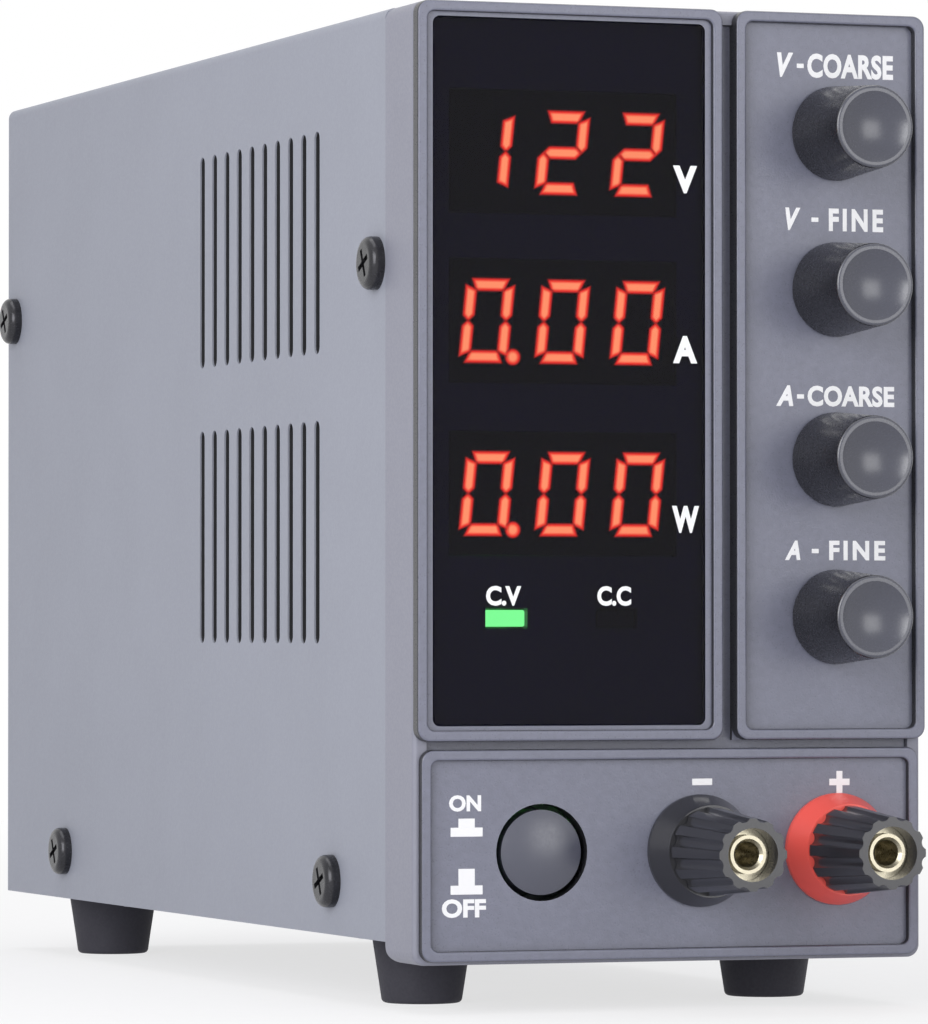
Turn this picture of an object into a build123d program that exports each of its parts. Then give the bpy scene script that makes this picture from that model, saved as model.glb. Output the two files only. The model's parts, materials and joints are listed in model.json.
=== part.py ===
"""Adjustable bench power supply in a narrow upright steel case with a moulded front.

Millimetres. +Z is up, the front faces -Y and +X is to the right of someone facing the front.
While the pieces are modelled, y = 0 is the plane of the upper front lips and z = 0 is the surface
the feet stand on. Every piece is moved back by MIDDLE_Y as it is written, so that the origin of the
finished part is at the middle of its footprint. Heights named ..._UP are measured from the bottom
edge of the front surround.
"""

from build123d import *

import os
from math import cos, pi, radians, sin, tan

# Case
BODY_WIDTH = 85.8
COVER_LENGTH = 215.0
SHEET = 1.0
SHEET_GAP = 0.1
COVER_BEND = 1.6
FLANGE = 10.0
FLOOR_FLANGE = 13.0
SHEET_CORNER = 1.5

# Feet
FOOT_HEIGHT = 10.8
FOOT_TOP_RADIUS = 8.05
FOOT_BOTTOM_RADIUS = 6.4
FOOT_INSET = 13.2
FOOT_FRONT_SETBACK = 20.0
FOOT_REAR_SETBACK = 24.5
FOOT_SCREW_RECESS = 5.6
FOOT_EDGE = 0.8
HEAD_CLEARANCE = 0.4

# Front surround
BEZEL_HEIGHT = 150.0
BEZEL_DEPTH = 15.3
CHIN_DROP = 3.2
CHIN_WALL = 3.4
SURROUND_WALL = 2.2
SURROUND_CORNER = 2.0
SURROUND_EDGE = 0.8

# Front panel and its three raised frames
FRAME_DEPTH = 2.2
GROOVE_DEPTH = 3.0
PANEL_BACK = 5.0
PANEL_FIT = 0.15
UPPER_FRAMES_UP = 34.8
ROW_GROOVE = 1.3
COLUMN_GROOVE = 2.3
DISPLAY_FRAME_WIDTH = 51.1
LOWER_FRAME_UP = 0.5
LOWER_FRAME_INSET = 0.9
LOWER_FRAME_SETBACK = 0.75
LIP = 1.7
LIP_ROUND = 0.4
FRAME_CORNER = 2.0
RECESS_CORNER = 1.2
CONTROL_FACE = 1.5
TERMINAL_FACE = 1.9
PANEL_BOSS_RADIUS = 3.0
UPPER_LEFT_BOSS = (7.4, 7.5)
UPPER_RIGHT_BOSS = (5.9, 6.5)
LOWER_LEFT_BOSS = (5.9, 8.0)
LOWER_RIGHT_BOSS = (5.4, 8.0)

# Display window and the boards behind it, insets measured from the case's left side
WINDOW_SETBACK = 0.9
WINDOW_THICKNESS = 2.0
WINDOW_FIT = 0.1
WINDOW_MARGIN_SIDE = 1.15
WINDOW_MARGIN_END = 0.75
WINDOW_CORNER = 1.2
BOARD = 1.6
DIGIT_INSET = 25.1
DIGITS_UP = (126.9, 100.4, 73.4)
MODULE_WIDTH = 37.6
MODULE_HEIGHT = 19.0
MODULE_DEPTH = 7.9
MODULE_RELIEF = 0.4
MODULE_FIT = 0.3
LED_UP = 53.95
LED_INSETS = (15.6, 34.0)
LED_WIDTH = 6.4
LED_HEIGHT = 2.6
LED_CORNER = 0.3
DISPLAY_BOARD_INSETS = (3.9, 47.3)
DISPLAY_BOARD_UP = (39.0, 146.5)
DISPLAY_BOSS_INSETS = ((18.9, 142.0), (39.9, 142.0), (8.9, 43.5), (41.3, 43.5))
DISPLAY_BOSS_RADIUS = 2.6
PASS_CLEARANCE = 0.4

# Control knobs and potentiometers
KNOB_INSET = 15.0
KNOBS = (("v_coarse", 131.0), ("v_fine", 106.2), ("a_coarse", 79.2), ("a_fine", 54.2))
KNOB_REACH = 14.7
KNOB_GAP = 0.5
KNOB_FRONT_RADIUS = 6.5
KNOB_BASE_RADIUS = 7.5
KNOB_DISH_RADIUS = 5.6
KNOB_DISH_DEPTH = 1.7
KNOB_EDGE = 0.5
KNOB_SKIRT = 1.1
KNOB_SKIRT_DEPTH = 3.4
SHAFT_RADIUS = 3.0
SHAFT_FLAT = 1.5
SHAFT_CLEARANCE = 0.05
SHAFT_TIP = 2.6
END_GAP = 0.2
BUSHING_RADIUS = 3.6
BUSHING_REACH = 0.9
POT_RADIUS = 8.25
POT_DEPTH = 8.0
POT_BACK_WALL = 1.6
NUT_THICKNESS = 1.8
POT_NUT_FLATS = 10.0
CONTROL_BOARD_REACH = (10.9, 8.6)
CONTROL_BOARD_UP = (44.0, 139.5)

# Power button and its latching switch
BUTTON_INSET = 21.2
BUTTON_UP = 17.4
BUTTON_RADIUS = 6.65
BUTTON_HOLE_RADIUS = 7.6
BUTTON_RIM = 2.3
BUTTON_CROWN = 1.2
BUTTON_LENGTH = 11.0
BUTTON_WALL = 1.2
BUTTON_STEM_RADIUS = 4.2
PLUNGER_WIDTH = 4.0
PLUNGER_HEIGHT = 5.6
PLUNGER_FIT = 0.1
SWITCH_FRONT = 24.0
SWITCH_LENGTH = 20.0
SWITCH_WIDTH = 14.0
SWITCH_HEIGHT = 12.0
SWITCH_DEPTH = 10.0
SWITCH_OVERTRAVEL = 1.0
SWITCH_TAG = 4.0
SWITCH_TAG_WIDTH = 2.0
SWITCH_TAG_THICKNESS = 0.8
SWITCH_TAG_X = 3.5
SWITCH_TAG_Z = 3.0
BRACKET_WIDTH = 30.0
BRACKET_SCREW_X = 11.0
BRACKET_FOOT = 7.0
BRACKET_HEAD = 2.0

# Binding posts
POST_UP = 17.4
POST_INSET = 14.6
POST_SPACING = 23.45
COLLAR_RADIUS = 8.85
COLLAR_RIM = 0.8
COLLAR_FRONT = -3.4
COLLAR_FRONT_RADIUS = 7.25
SHOULDER_RADIUS = 4.6
SHOULDER_FIT = 0.1
STUD_RADIUS = 3.0
STUD_TIP = -18.2
STUD_BACK = 14.4
SOCKET_RADIUS = 2.0
SOCKET_DEPTH = 12.0
SOCKET_CHAMFER = 0.45
WIRE_HOLE_RADIUS = 1.2
WIRE_HOLE_Y = -5.6
POST_CLEARANCE = 0.05
CAP_TIP = -20.2
CAP_BASE_RADIUS = 7.0
CAP_TIP_RADIUS = 5.65
CAP_LOBES = 12
FLUTE_RADIUS = 1.15
FLUTE_DEPTH = 0.55
CAP_RECESS_RADIUS = 4.15
CAP_RECESS_DEPTH = 3.7
INSERT_RADIUS = 4.5
INSERT_LENGTH = 11.3
BUSH_RADIUS = 7.4
BUSH_THICKNESS = 2.0
POST_NUT_FLATS = 10.0
POST_NUT_THICKNESS = 2.4
TAG_THICKNESS = 0.8
TAG_LENGTH = 11.0
TAG_WIDTH = 4.0
TAG_SEAT = 9.0

# Screws
SIDE_SCREW_RADIUS = 2.0
SIDE_HEAD_RADIUS = 4.25
SIDE_HEAD_HEIGHT = 2.3
SIDE_SCREW_LENGTH = 6.0
SIDE_UPPER_UP = 110.0
SIDE_LOWER_UP = 11.8
SIDE_FRONT_UPPER = 4.3
SIDE_FRONT_LOWER = 25.9
SIDE_REAR_UPPER = 4.8
SIDE_REAR_LOWER = 38.0
SMALL_SCREW_RADIUS = 1.45
SMALL_HEAD_RADIUS = 2.8
SMALL_HEAD_HEIGHT = 1.8
SMALL_NUT_FLATS = 5.5
SCREW_STAND_OUT = 0.5
SCREW_CLEARANCE = 0.05
CROSS_WIDTH = 0.9
CROSS_REACH = 1.1
HEAD_ROUND = 0.55
SIDE_SCREW_TURN = 25.0
FRONT_SCREW_LENGTH = 7.0
DISPLAY_SCREW_LENGTH = 5.0
BOARD_SCREW_LENGTH = 4.0
STANDOFF_SCREW_LENGTH = 3.6
FAN_SCREW_LENGTH = 14.0
INLET_SCREW_LENGTH = 6.0

# Side vents
VENT_COUNT = 10
VENT_PITCH = 6.8
VENT_WIDTH = 2.7
VENT_LENGTH = 36.1
VENT_FIRST = 33.6
VENT_UP = (49.9, 96.8)

# Chassis openings
MODULE_DOOR_INSETS = (12.9, 48.9)
MODULE_DOOR_UP = (62.0, 138.0)
POST_DOOR_REACH = (8.85, 4.7)
POST_DOOR_UP = (6.0, 30.0)

# Rear panel
FAN_SIZE = 60.0
FAN_DEPTH = 20.0
FAN_UP = 112.0
FAN_BORE_RADIUS = 28.0
FAN_HOLE_PITCH = 50.0
FAN_STRUT = 2.6
FAN_MOTOR_RADIUS = 13.5
FAN_MOTOR_PLATE = 3.0
FAN_MARGIN = 1.2
FAN_CORNER = 4.0
ROTOR_RADIUS = 27.0
ROTOR_HUB_RADIUS = 13.0
ROTOR_DEPTH = 14.0
BLADE_COUNT = 7
BLADE_CHORD = 17.0
BLADE_THICKNESS = 1.2
BLADE_PITCH_ANGLE = 38.0
AXLE_RADIUS = 1.5
AXLE_SEAT = 1.5
AXLE_SEAT_DEPTH = 2.0
GUARD_WIRE = 1.6
GUARD_RINGS = (7.0, 13.0, 19.0, 25.0)
GUARD_EAR_RADIUS = 3.6
REAR_SLOT_COUNT = 9
REAR_SLOT_PITCH = 5.6
REAR_SLOT_WIDTH = 2.7
REAR_SLOT_LENGTH = 18.0
REAR_SLOT_UP = 66.5

# Mains inlet with fuse drawer, and voltage selector
INLET_INSET = 32.9
INLET_UP = 33.0
INLET_FLANGE_WIDTH = 50.0
INLET_FLANGE_HEIGHT = 33.0
INLET_FLANGE = 2.5
INLET_CORNER = 3.0
INLET_HEAD_CLEARANCE = 0.2
INLET_BODY_WIDTH = 28.0
INLET_BODY_HEIGHT = 30.0
INLET_BODY_DEPTH = 20.0
INLET_SCREW_PITCH = 40.0
CAVITY_WIDTH = 24.0
CAVITY_HEIGHT = 16.4
CAVITY_CHAMFER = 4.6
CAVITY_DEPTH = 17.0
CAVITY_DROP = -5.0
PIN_WIDTH = 2.0
PIN_HEIGHT = 4.0
PIN_RECESS = 5.2
PIN_SPACING = 7.0
PIN_STEP = 2.0
PIN_TAIL = 6.0
DRAWER_WIDTH = 20.0
DRAWER_HEIGHT = 7.4
DRAWER_LENGTH = 20.0
DRAWER_RISE = 9.3
DRAWER_LIP = 1.0
DRAWER_WALL = 1.0
DRAWER_FRONT = 2.0
DRAWER_FIT = 0.15
FUSE_RADIUS = 2.5
FUSE_LENGTH = 15.0
FUSE_FIT = 0.1
SELECTOR_INSET = 15.4
SELECTOR_UP = 33.0
SELECTOR_WIDTH = 14.0
SELECTOR_HEIGHT = 28.0
SELECTOR_FLANGE = 1.2
SELECTOR_CORNER = 1.5
SELECTOR_ROOT = 0.5
SELECTOR_BODY_WIDTH = 10.0
SELECTOR_BODY_HEIGHT = 19.0
SELECTOR_BODY_DEPTH = 10.0
SLIDER_WIDTH = 5.0
SLIDER_HEIGHT = 8.0
SLIDER_TRAVEL = 4.5
SLIDER_FIT = 0.15
SLIDER_GROOVE = 1.2
SLIDER_GROOVE_DEPTH = 0.6

# Main board and what stands on it
MAIN_INSETS = (9.9, 6.9)
MAIN_Y = (52.0, 204.0)
STANDOFF_HEIGHT = 6.2
STANDOFF_RADIUS = 2.75
STANDOFF_INSET_X = 4.0
STANDOFF_INSET_Y = 10.0
BULK_RADIUS = 11.0
BULK_HEIGHT = 40.0
CAN_EDGE = 0.8
CAN_GROOVE_SHARE = 0.1
CAN_GROOVE_RADIUS = 1.0
CAN_GROOVE_DEPTH = 0.5
BULK_PLACES = ((-5.5, 166.0), (18.0, 166.0))
OUTPUT_RADIUS = 6.5
OUTPUT_HEIGHT = 25.0
OUTPUT_PLACES = ((-16.0, 72.0), (-2.0, 72.0), (12.0, 72.0))
CORE_WIDTH = 40.0
CORE_DEPTH = 14.0
CORE_HEIGHT = 36.0
CORE_BAR = 6.5
CORE_LEG = 12.0
CORE_PLACE = (1.0, 130.0)
COIL_DEPTH = 30.0
COIL_CLEARANCE = 0.3
COIL_CORNER = 4.0
SINK_HEIGHT = 42.0
SINK_BACK = 3.0
SINK_FIN = 1.2
SINK_FIN_PITCH = 6.0
SINK_REACH = 9.0
PRIMARY_SINK_INSET = 11.4
PRIMARY_SINK_Y = (96.0, 158.0)
SECONDARY_SINK_INSET = 7.4
SECONDARY_SINK_Y = (84.0, 146.0)
DEVICE_WIDTH = 15.6
DEVICE_HEIGHT = 20.0
DEVICE_DEPTH = 4.8
DEVICE_RISE = 12.0
DEVICE_LEG = 1.2
DEVICE_LEG_PITCH = 5.0
TOROID_RADIUS = 13.0
TOROID_WIRE = 5.0
TOROID_PLACE = (6.0, 94.0)
COMPONENT_CORNER = 0.6
FILTER_WIDTH = 22.0
FILTER_DEPTH = 14.0
FILTER_HEIGHT = 24.0
FILTER_PLACE = (17.5, 193.0)
XCAP_WIDTH = 18.0
XCAP_DEPTH = 9.0
XCAP_HEIGHT = 16.0
XCAP_PLACE = (-5.0, 187.0)
BRIDGE_WIDTH = 22.0
BRIDGE_DEPTH = 4.0
BRIDGE_HEIGHT = 18.0
BRIDGE_PLACE = (3.0, 150.5)
TERMINAL_LENGTH = 15.0
TERMINAL_DEPTH = 9.0
TERMINAL_HEIGHT = 12.0
TERMINAL_PITCH = 7.5
TERMINAL_RISE = 5.0
TERMINAL_SCREW_RADIUS = 1.8
TERMINAL_SCREW_RECESS = 2.0
OUTPUT_TERMINAL = (21.0, 60.0)
MAINS_TERMINAL_INSET = 7.5
MAINS_TERMINAL_Y = 178.0
HEADER_WIDTH = 16.0
HEADER_DEPTH = 6.0
HEADER_HEIGHT = 8.0
HEADER_PLACE = (-8.0, 57.0)

# Leads inside the case
LEAD_RADIUS = 1.2
FAN_LEAD_RADIUS = 1.0
LARGEST_BEND = 14.0
BEND_SHARE = 0.45
CHANNEL_INSET = 5.7
RIBBON_WIDTH = 12.0
RIBBON_THICKNESS = 0.9
RIBBON_BEND = 6.0
RIBBON_UP = 70.0
RIBBON_DROP = 18.0

# Places that follow from the sizes above
HALF = BODY_WIDTH / 2
INSIDE = HALF - SHEET
FOOT_X = HALF - FOOT_INSET
PANEL_BOSSES = (
    (-HALF + UPPER_LEFT_BOSS[0], BEZEL_HEIGHT - UPPER_LEFT_BOSS[1]),
    (HALF - UPPER_RIGHT_BOSS[0], BEZEL_HEIGHT - UPPER_RIGHT_BOSS[1]),
    (-HALF + LOWER_LEFT_BOSS[0], LOWER_LEFT_BOSS[1]),
    (HALF - LOWER_RIGHT_BOSS[0], LOWER_RIGHT_BOSS[1]),
)
DIGIT_X = -HALF + DIGIT_INSET
LED_X = [-HALF + inset for inset in LED_INSETS]
DISPLAY_BOARD_X = [-HALF + inset for inset in DISPLAY_BOARD_INSETS]
DISPLAY_BOSSES = [(-HALF + inset, height) for inset, height in DISPLAY_BOSS_INSETS]
MODULE_DOOR_X = [-HALF + inset for inset in MODULE_DOOR_INSETS]
KNOB_X = HALF - KNOB_INSET
CONTROL_BOARD_X = (KNOB_X - CONTROL_BOARD_REACH[0], KNOB_X + CONTROL_BOARD_REACH[1])
BUTTON_X = -HALF + BUTTON_INSET
POSITIVE_X = HALF - POST_INSET
NEGATIVE_X = POSITIVE_X - POST_SPACING
POST_X = (("negative", NEGATIVE_X), ("positive", POSITIVE_X))
POST_DOOR_X = (NEGATIVE_X - POST_DOOR_REACH[0], POSITIVE_X + POST_DOOR_REACH[1])
INLET_X = -HALF + INLET_INSET
SELECTOR_X = HALF - SELECTOR_INSET
MAIN_X = (-HALF + MAIN_INSETS[0], HALF - MAIN_INSETS[1])
MAINS_TERMINAL = (MAIN_X[0] + MAINS_TERMINAL_INSET, MAINS_TERMINAL_Y)
PRIMARY_SINK_X = -HALF + PRIMARY_SINK_INSET
SECONDARY_SINK_X = HALF - SECONDARY_SINK_INSET
CHANNEL_X = -HALF + CHANNEL_INSET
SHELL_BOTTOM = FOOT_HEIGHT
FLOOR_TOP = SHELL_BOTTOM + SHEET
BEZEL_BOTTOM = FOOT_HEIGHT - CHIN_DROP
BEZEL_TOP = BEZEL_BOTTOM + BEZEL_HEIGHT
SEAM_Y = BEZEL_DEPTH
REAR_Y = SEAM_Y + COVER_LENGTH
PLATE_BACK = SEAM_Y + SHEET
REAR_INSIDE = REAR_Y - SHEET
PLATE_TOP = BEZEL_TOP - SHEET - SHEET_GAP
FLANGE_X = INSIDE - SHEET_GAP
WINDOW_BACK = WINDOW_SETBACK + WINDOW_THICKNESS
MODULE_FRONT = WINDOW_BACK + MODULE_RELIEF
DISPLAY_BOARD_Y = MODULE_FRONT + MODULE_DEPTH
POT_BACK = PANEL_BACK + POT_DEPTH
KNOB_BASE = CONTROL_FACE - KNOB_GAP
BOARD_BOTTOM = FLOOR_TOP + STANDOFF_HEIGHT
BOARD_TOP = BOARD_BOTTOM + BOARD
SMALL_BORE = SMALL_SCREW_RADIUS + SCREW_CLEARANCE
FAN_FRONT = REAR_INSIDE - FAN_DEPTH
GUARD_BACK = REAR_Y + GUARD_WIRE
REAR_END = GUARD_BACK + SMALL_HEAD_HEIGHT
MIDDLE_Y = (CAP_TIP + REAR_END) / 2
CAP_BASE = COLLAR_FRONT - END_GAP
INSERT_FRONT = CAP_TIP + CAP_RECESS_DEPTH + END_GAP
SKIRT_FRONT = KNOB_BASE - KNOB_SKIRT_DEPTH
TAG_FRONT = PANEL_BACK + BUSH_THICKNESS + POST_NUT_THICKNESS
SWITCH_BACK = SWITCH_FRONT + SHEET + SWITCH_LENGTH
INLET_FACE = REAR_Y + INLET_FLANGE
INLET_BACK = REAR_Y - INLET_BODY_DEPTH


def up(height):
    """Height above the standing surface of a height above the surround's bottom edge."""
    return BEZEL_BOTTOM + height


def block(x, y, z):
    """Box between pairs of limits."""
    size = [high - low for low, high in (x, y, z)]
    middle = [(low + high) / 2 for low, high in (x, y, z)]
    return Pos(*middle) * Box(*size)


def around(middle, width):
    """Pair of limits a width apart about a middle."""
    return (middle - width / 2, middle + width / 2)


def slab(x, z, corner, y):
    """Upright plate with rounded corners, seen from the front."""
    plane = Plane(origin=(sum(x) / 2, y[0], sum(z) / 2), x_dir=(1, 0, 0), z_dir=(0, 1, 0))
    return extrude(plane * RectangleRounded(x[1] - x[0], z[1] - z[0], corner), amount=y[1] - y[0])


def rod_y(radius, y, x=0.0, z=0.0):
    """Round bar along y."""
    return Pos(x, sum(y) / 2, z) * Rot(90, 0, 0) * Cylinder(radius, y[1] - y[0])


def rod_x(radius, x, y=0.0, z=0.0):
    """Round bar along x."""
    return Pos(sum(x) / 2, y, z) * Rot(0, 90, 0) * Cylinder(radius, x[1] - x[0])


def rod_z(radius, z, x=0.0, y=0.0):
    """Round bar along z."""
    return Pos(x, y, sum(z) / 2) * Cylinder(radius, z[1] - z[0])


def turned(profile, x, z):
    """Round piece about an axis along y, from the (radius, y) points of its half section."""
    face = make_face(Polyline(*profile, close=True))
    return Pos(x, 0, z) * revolve(face, Axis.Y)


def hexagon(flats, y, x, z, bore):
    """Hexagon nut along y."""
    plane = Plane(origin=(x, y[0], z), x_dir=(1, 0, 0), z_dir=(0, 1, 0))
    nut = extrude(plane * RegularPolygon(flats / 2, 6, major_radius=False), amount=y[1] - y[0])
    return nut - rod_y(bore, (y[0] - 1, y[1] + 1), x, z)


def pan_screw(radius, length, head_radius, head_height):
    """Cross-recessed pan screw along +Z, its head above z = 0 and its shank below."""
    head = Cylinder(head_radius, head_height, align=(Align.CENTER, Align.CENTER, Align.MIN))
    head = fillet(head.edges().group_by(Axis.Z)[-1], head_height * HEAD_ROUND)
    for turn in (0, 90):
        arm = Box(head_radius * CROSS_REACH, CROSS_WIDTH, head_height)
        head -= Pos(0, 0, head_height) * Rot(0, 0, turn) * arm
    return head + Pos(0, 0, -length / 2) * Cylinder(radius, length)


def small_screw(length):
    """Small board and bracket screw."""
    return pan_screw(SMALL_SCREW_RADIUS, length, SMALL_HEAD_RADIUS, SMALL_HEAD_HEIGHT)


def half_round_slots(middles, width, length, z, depth, along_x):
    """Row of upright round-ended slots cut through a sheet, as one tool."""
    tools = Part()
    for middle in middles:
        if along_x:
            plane = Plane(origin=(middle, depth[0], z), x_dir=(0, 0, 1), z_dir=(0, 1, 0))
        else:
            plane = Plane(origin=(depth[0], middle, z), x_dir=(0, 0, 1), z_dir=(1, 0, 0))
        tools += extrude(plane * SlotOverall(length, width), amount=depth[1] - depth[0])
    return tools


def side_screw_places():
    """(y, z) of the four cover screws on each side."""
    return (
        (SEAM_Y + SIDE_FRONT_UPPER, up(SIDE_UPPER_UP)),
        (SEAM_Y + SIDE_FRONT_LOWER, up(SIDE_LOWER_UP)),
        (REAR_Y - SIDE_REAR_UPPER, up(SIDE_UPPER_UP)),
        (REAR_Y - SIDE_REAR_LOWER, up(SIDE_LOWER_UP)),
    )


def foot_places():
    """(x, y) of the four feet."""
    rows = (SEAM_Y + FOOT_FRONT_SETBACK, REAR_Y - FOOT_REAR_SETBACK)
    return [(x, y) for x in (-FOOT_X, FOOT_X) for y in rows]


def standoff_places():
    """(x, y) of the main board's four standoffs."""
    columns = (MAIN_X[0] + STANDOFF_INSET_X, MAIN_X[1] - STANDOFF_INSET_X)
    rows = (MAIN_Y[0] + STANDOFF_INSET_Y, MAIN_Y[1] - STANDOFF_INSET_Y)
    return [(x, y) for x in columns for y in rows]


def fan_places():
    """(x, z) of the fan's four corner screws."""
    step = FAN_HOLE_PITCH / 2
    return [(x, up(FAN_UP) + z) for x in (-step, step) for z in (-step, step)]


def side_holes(radius):
    """Tool that drills the cover screw holes through both sides."""
    tools = Part()
    for y, z in side_screw_places():
        tools += rod_x(radius, (-HALF - 1, HALF + 1), y, z)
    return tools


def top_cover():
    """Folded steel cover: two slotted sides and the top."""
    cover = block((-HALF, HALF), (SEAM_Y, REAR_Y), (SHELL_BOTTOM, BEZEL_TOP))
    cover = fillet(cover.edges().filter_by(Axis.Y).group_by(Axis.Z)[-1], COVER_BEND)
    hollow = block((-INSIDE, INSIDE), (SEAM_Y - 1, REAR_Y + 1), (SHELL_BOTTOM - 1, BEZEL_TOP - SHEET))
    hollow = fillet(hollow.edges().filter_by(Axis.Y).group_by(Axis.Z)[-1], COVER_BEND - SHEET)
    cover -= hollow
    middles = [SEAM_Y + VENT_FIRST + index * VENT_PITCH for index in range(VENT_COUNT)]
    for height in VENT_UP:
        middle = up(height) + VENT_LENGTH / 2
        cover -= half_round_slots(middles, VENT_WIDTH, VENT_LENGTH, middle, (-HALF - 1, HALF + 1), False)
    return cover - side_holes(SIDE_SCREW_RADIUS + SCREW_CLEARANCE)


def upright_sheet(y):
    """Upright sheet across the case, its top corners rounded to clear the cover's bends."""
    sheet = block((-FLANGE_X, FLANGE_X), y, (SHELL_BOTTOM, PLATE_TOP))
    return fillet(sheet.edges().filter_by(Axis.Y).group_by(Axis.Z)[-1], COVER_BEND - SHEET)


def base_chassis():
    """Folded steel base: floor with upturned sides, and the upright plate behind the front."""
    chassis = upright_sheet((SEAM_Y, PLATE_BACK))
    chassis += block((-FLANGE_X, FLANGE_X), (SEAM_Y, REAR_INSIDE), (SHELL_BOTTOM, FLOOR_TOP))
    for side in (-1, 1):
        wall = sorted((side * FLANGE_X, side * (FLANGE_X - SHEET)))
        chassis += block(wall, (SEAM_Y, REAR_INSIDE - FLANGE), (SHELL_BOTTOM, FLOOR_TOP + FLOOR_FLANGE))
        chassis += block(wall, (SEAM_Y, PLATE_BACK + FLANGE), (SHELL_BOTTOM, PLATE_TOP - COVER_BEND))
    door = (SEAM_Y - 1, PLATE_BACK + 1)
    chassis -= slab(MODULE_DOOR_X, [up(v) for v in MODULE_DOOR_UP], SHEET_CORNER, door)
    chassis -= slab(POST_DOOR_X, [up(v) for v in POST_DOOR_UP], SHEET_CORNER, door)
    chassis -= rod_y(BUTTON_HOLE_RADIUS, door, BUTTON_X, up(BUTTON_UP))
    for x, height in PANEL_BOSSES:
        chassis -= rod_y(SMALL_BORE, door, x, up(height))
    for x, y in foot_places() + switch_bracket_screws() + rear_panel_screws():
        chassis -= rod_z(SMALL_BORE, (SHELL_BOTTOM - 1, FLOOR_TOP + 1), x, y)
    for x, y in standoff_places():
        chassis -= rod_z(SMALL_BORE, (SHELL_BOTTOM - 1, FLOOR_TOP + 1), x, y)
    return chassis - side_holes(SIDE_SCREW_RADIUS + SCREW_CLEARANCE)


def rear_panel_screws():
    """(x, y) of the screws that hold the rear panel's foot to the floor."""
    return [(x, REAR_INSIDE - FLANGE / 2) for x in (-INSIDE / 2, INSIDE / 2)]


def switch_bracket_screws():
    """(x, y) of the screws that hold the switch bracket to the floor."""
    y = SWITCH_FRONT - BRACKET_FOOT / 2
    return [(BUTTON_X + x, y) for x in (-BRACKET_SCREW_X, BRACKET_SCREW_X)]


def rear_panel():
    """Steel rear panel with its flanges, fan opening, slots and cut-outs."""
    lower = FLOOR_TOP
    panel = upright_sheet((REAR_INSIDE, REAR_Y))
    for side in (-1, 1):
        wall = sorted((side * FLANGE_X, side * (FLANGE_X - SHEET)))
        panel += block(wall, (REAR_INSIDE - FLANGE + SHEET_GAP, REAR_Y), (lower, PLATE_TOP - COVER_BEND))
    foot = (-FLANGE_X + 2 * SHEET, FLANGE_X - 2 * SHEET)
    panel += block(foot, (REAR_INSIDE - FLANGE, REAR_Y), (lower, lower + SHEET))
    through = (REAR_INSIDE - 1, REAR_Y + 1)
    panel -= rod_y(FAN_BORE_RADIUS, through, 0, up(FAN_UP))
    for x, z in fan_places():
        panel -= rod_y(SMALL_BORE, through, x, z)
    middles = [(index - (REAR_SLOT_COUNT - 1) / 2) * REAR_SLOT_PITCH for index in range(REAR_SLOT_COUNT)]
    panel -= half_round_slots(middles, REAR_SLOT_WIDTH, REAR_SLOT_LENGTH, up(REAR_SLOT_UP), through, True)
    cut = (INLET_BODY_WIDTH + 2 * PANEL_FIT, INLET_BODY_HEIGHT + 2 * PANEL_FIT)
    panel -= slab(around(INLET_X, cut[0]), around(up(INLET_UP), cut[1]), SHEET_CORNER, through)
    for x in inlet_screw_places():
        panel -= rod_y(SMALL_BORE, through, x, up(INLET_UP))
    cut = (SELECTOR_BODY_WIDTH + 2 * PANEL_FIT, SELECTOR_BODY_HEIGHT + 2 * PANEL_FIT)
    panel -= block(around(SELECTOR_X, cut[0]), through, around(up(SELECTOR_UP), cut[1]))
    for x, y in rear_panel_screws():
        panel -= rod_z(SMALL_BORE, (lower - 1, lower + SHEET + 1), x, y)
    return panel - side_holes(SIDE_SCREW_RADIUS + SCREW_CLEARANCE)


def inlet_screw_places():
    """x of the two screws that hold the mains inlet."""
    return around(INLET_X, INLET_SCREW_PITCH)


def front_surround():
    """Moulded band between the steel case and the front panel, with its rounded chin."""
    outer = slab((-HALF, HALF), (BEZEL_BOTTOM, BEZEL_TOP), SURROUND_CORNER, (FRAME_DEPTH, SEAM_Y))
    outer = fillet(outer.edges().group_by(Axis.Y)[0], SURROUND_EDGE)
    chin = block((-HALF - 1, HALF + 1), (FRAME_DEPTH - 1, SEAM_Y), (BEZEL_BOTTOM, BEZEL_TOP + 1))
    chin = fillet(chin.edges().filter_by(Axis.X).sort_by(Axis.Y)[-2:].sort_by(Axis.Z)[0], CHIN_DROP)
    inner_x = (-HALF + SURROUND_WALL, HALF - SURROUND_WALL)
    inner_z = (BEZEL_BOTTOM + CHIN_WALL, BEZEL_TOP - SURROUND_WALL)
    return (outer & chin) - block(inner_x, (FRAME_DEPTH - 1, SEAM_Y + 1), inner_z)


def frame_outlines():
    """x limits, z limits, lip plane and recessed face of the three raised frames."""
    control_left = -HALF + DISPLAY_FRAME_WIDTH + COLUMN_GROOVE
    upper = (up(UPPER_FRAMES_UP), BEZEL_TOP)
    lower = (up(LOWER_FRAME_UP), up(UPPER_FRAMES_UP - ROW_GROOVE))
    lower_x = (-HALF + LOWER_FRAME_INSET, HALF - LOWER_FRAME_INSET)
    return {
        "display": ((-HALF, -HALF + DISPLAY_FRAME_WIDTH), upper, 0.0, WINDOW_SETBACK),
        "control": ((control_left, HALF), upper, 0.0, CONTROL_FACE),
        "terminal": (lower_x, lower, LOWER_FRAME_SETBACK, TERMINAL_FACE),
    }


def shrink(limits, amount):
    """Pair of limits drawn in at both ends."""
    return (limits[0] + amount, limits[1] - amount)


def window_outline():
    """x and z limits of the display window."""
    x, z, _, _ = frame_outlines()["display"]
    return shrink(x, LIP + WINDOW_MARGIN_SIDE), shrink(z, LIP + WINDOW_MARGIN_END)


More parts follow.
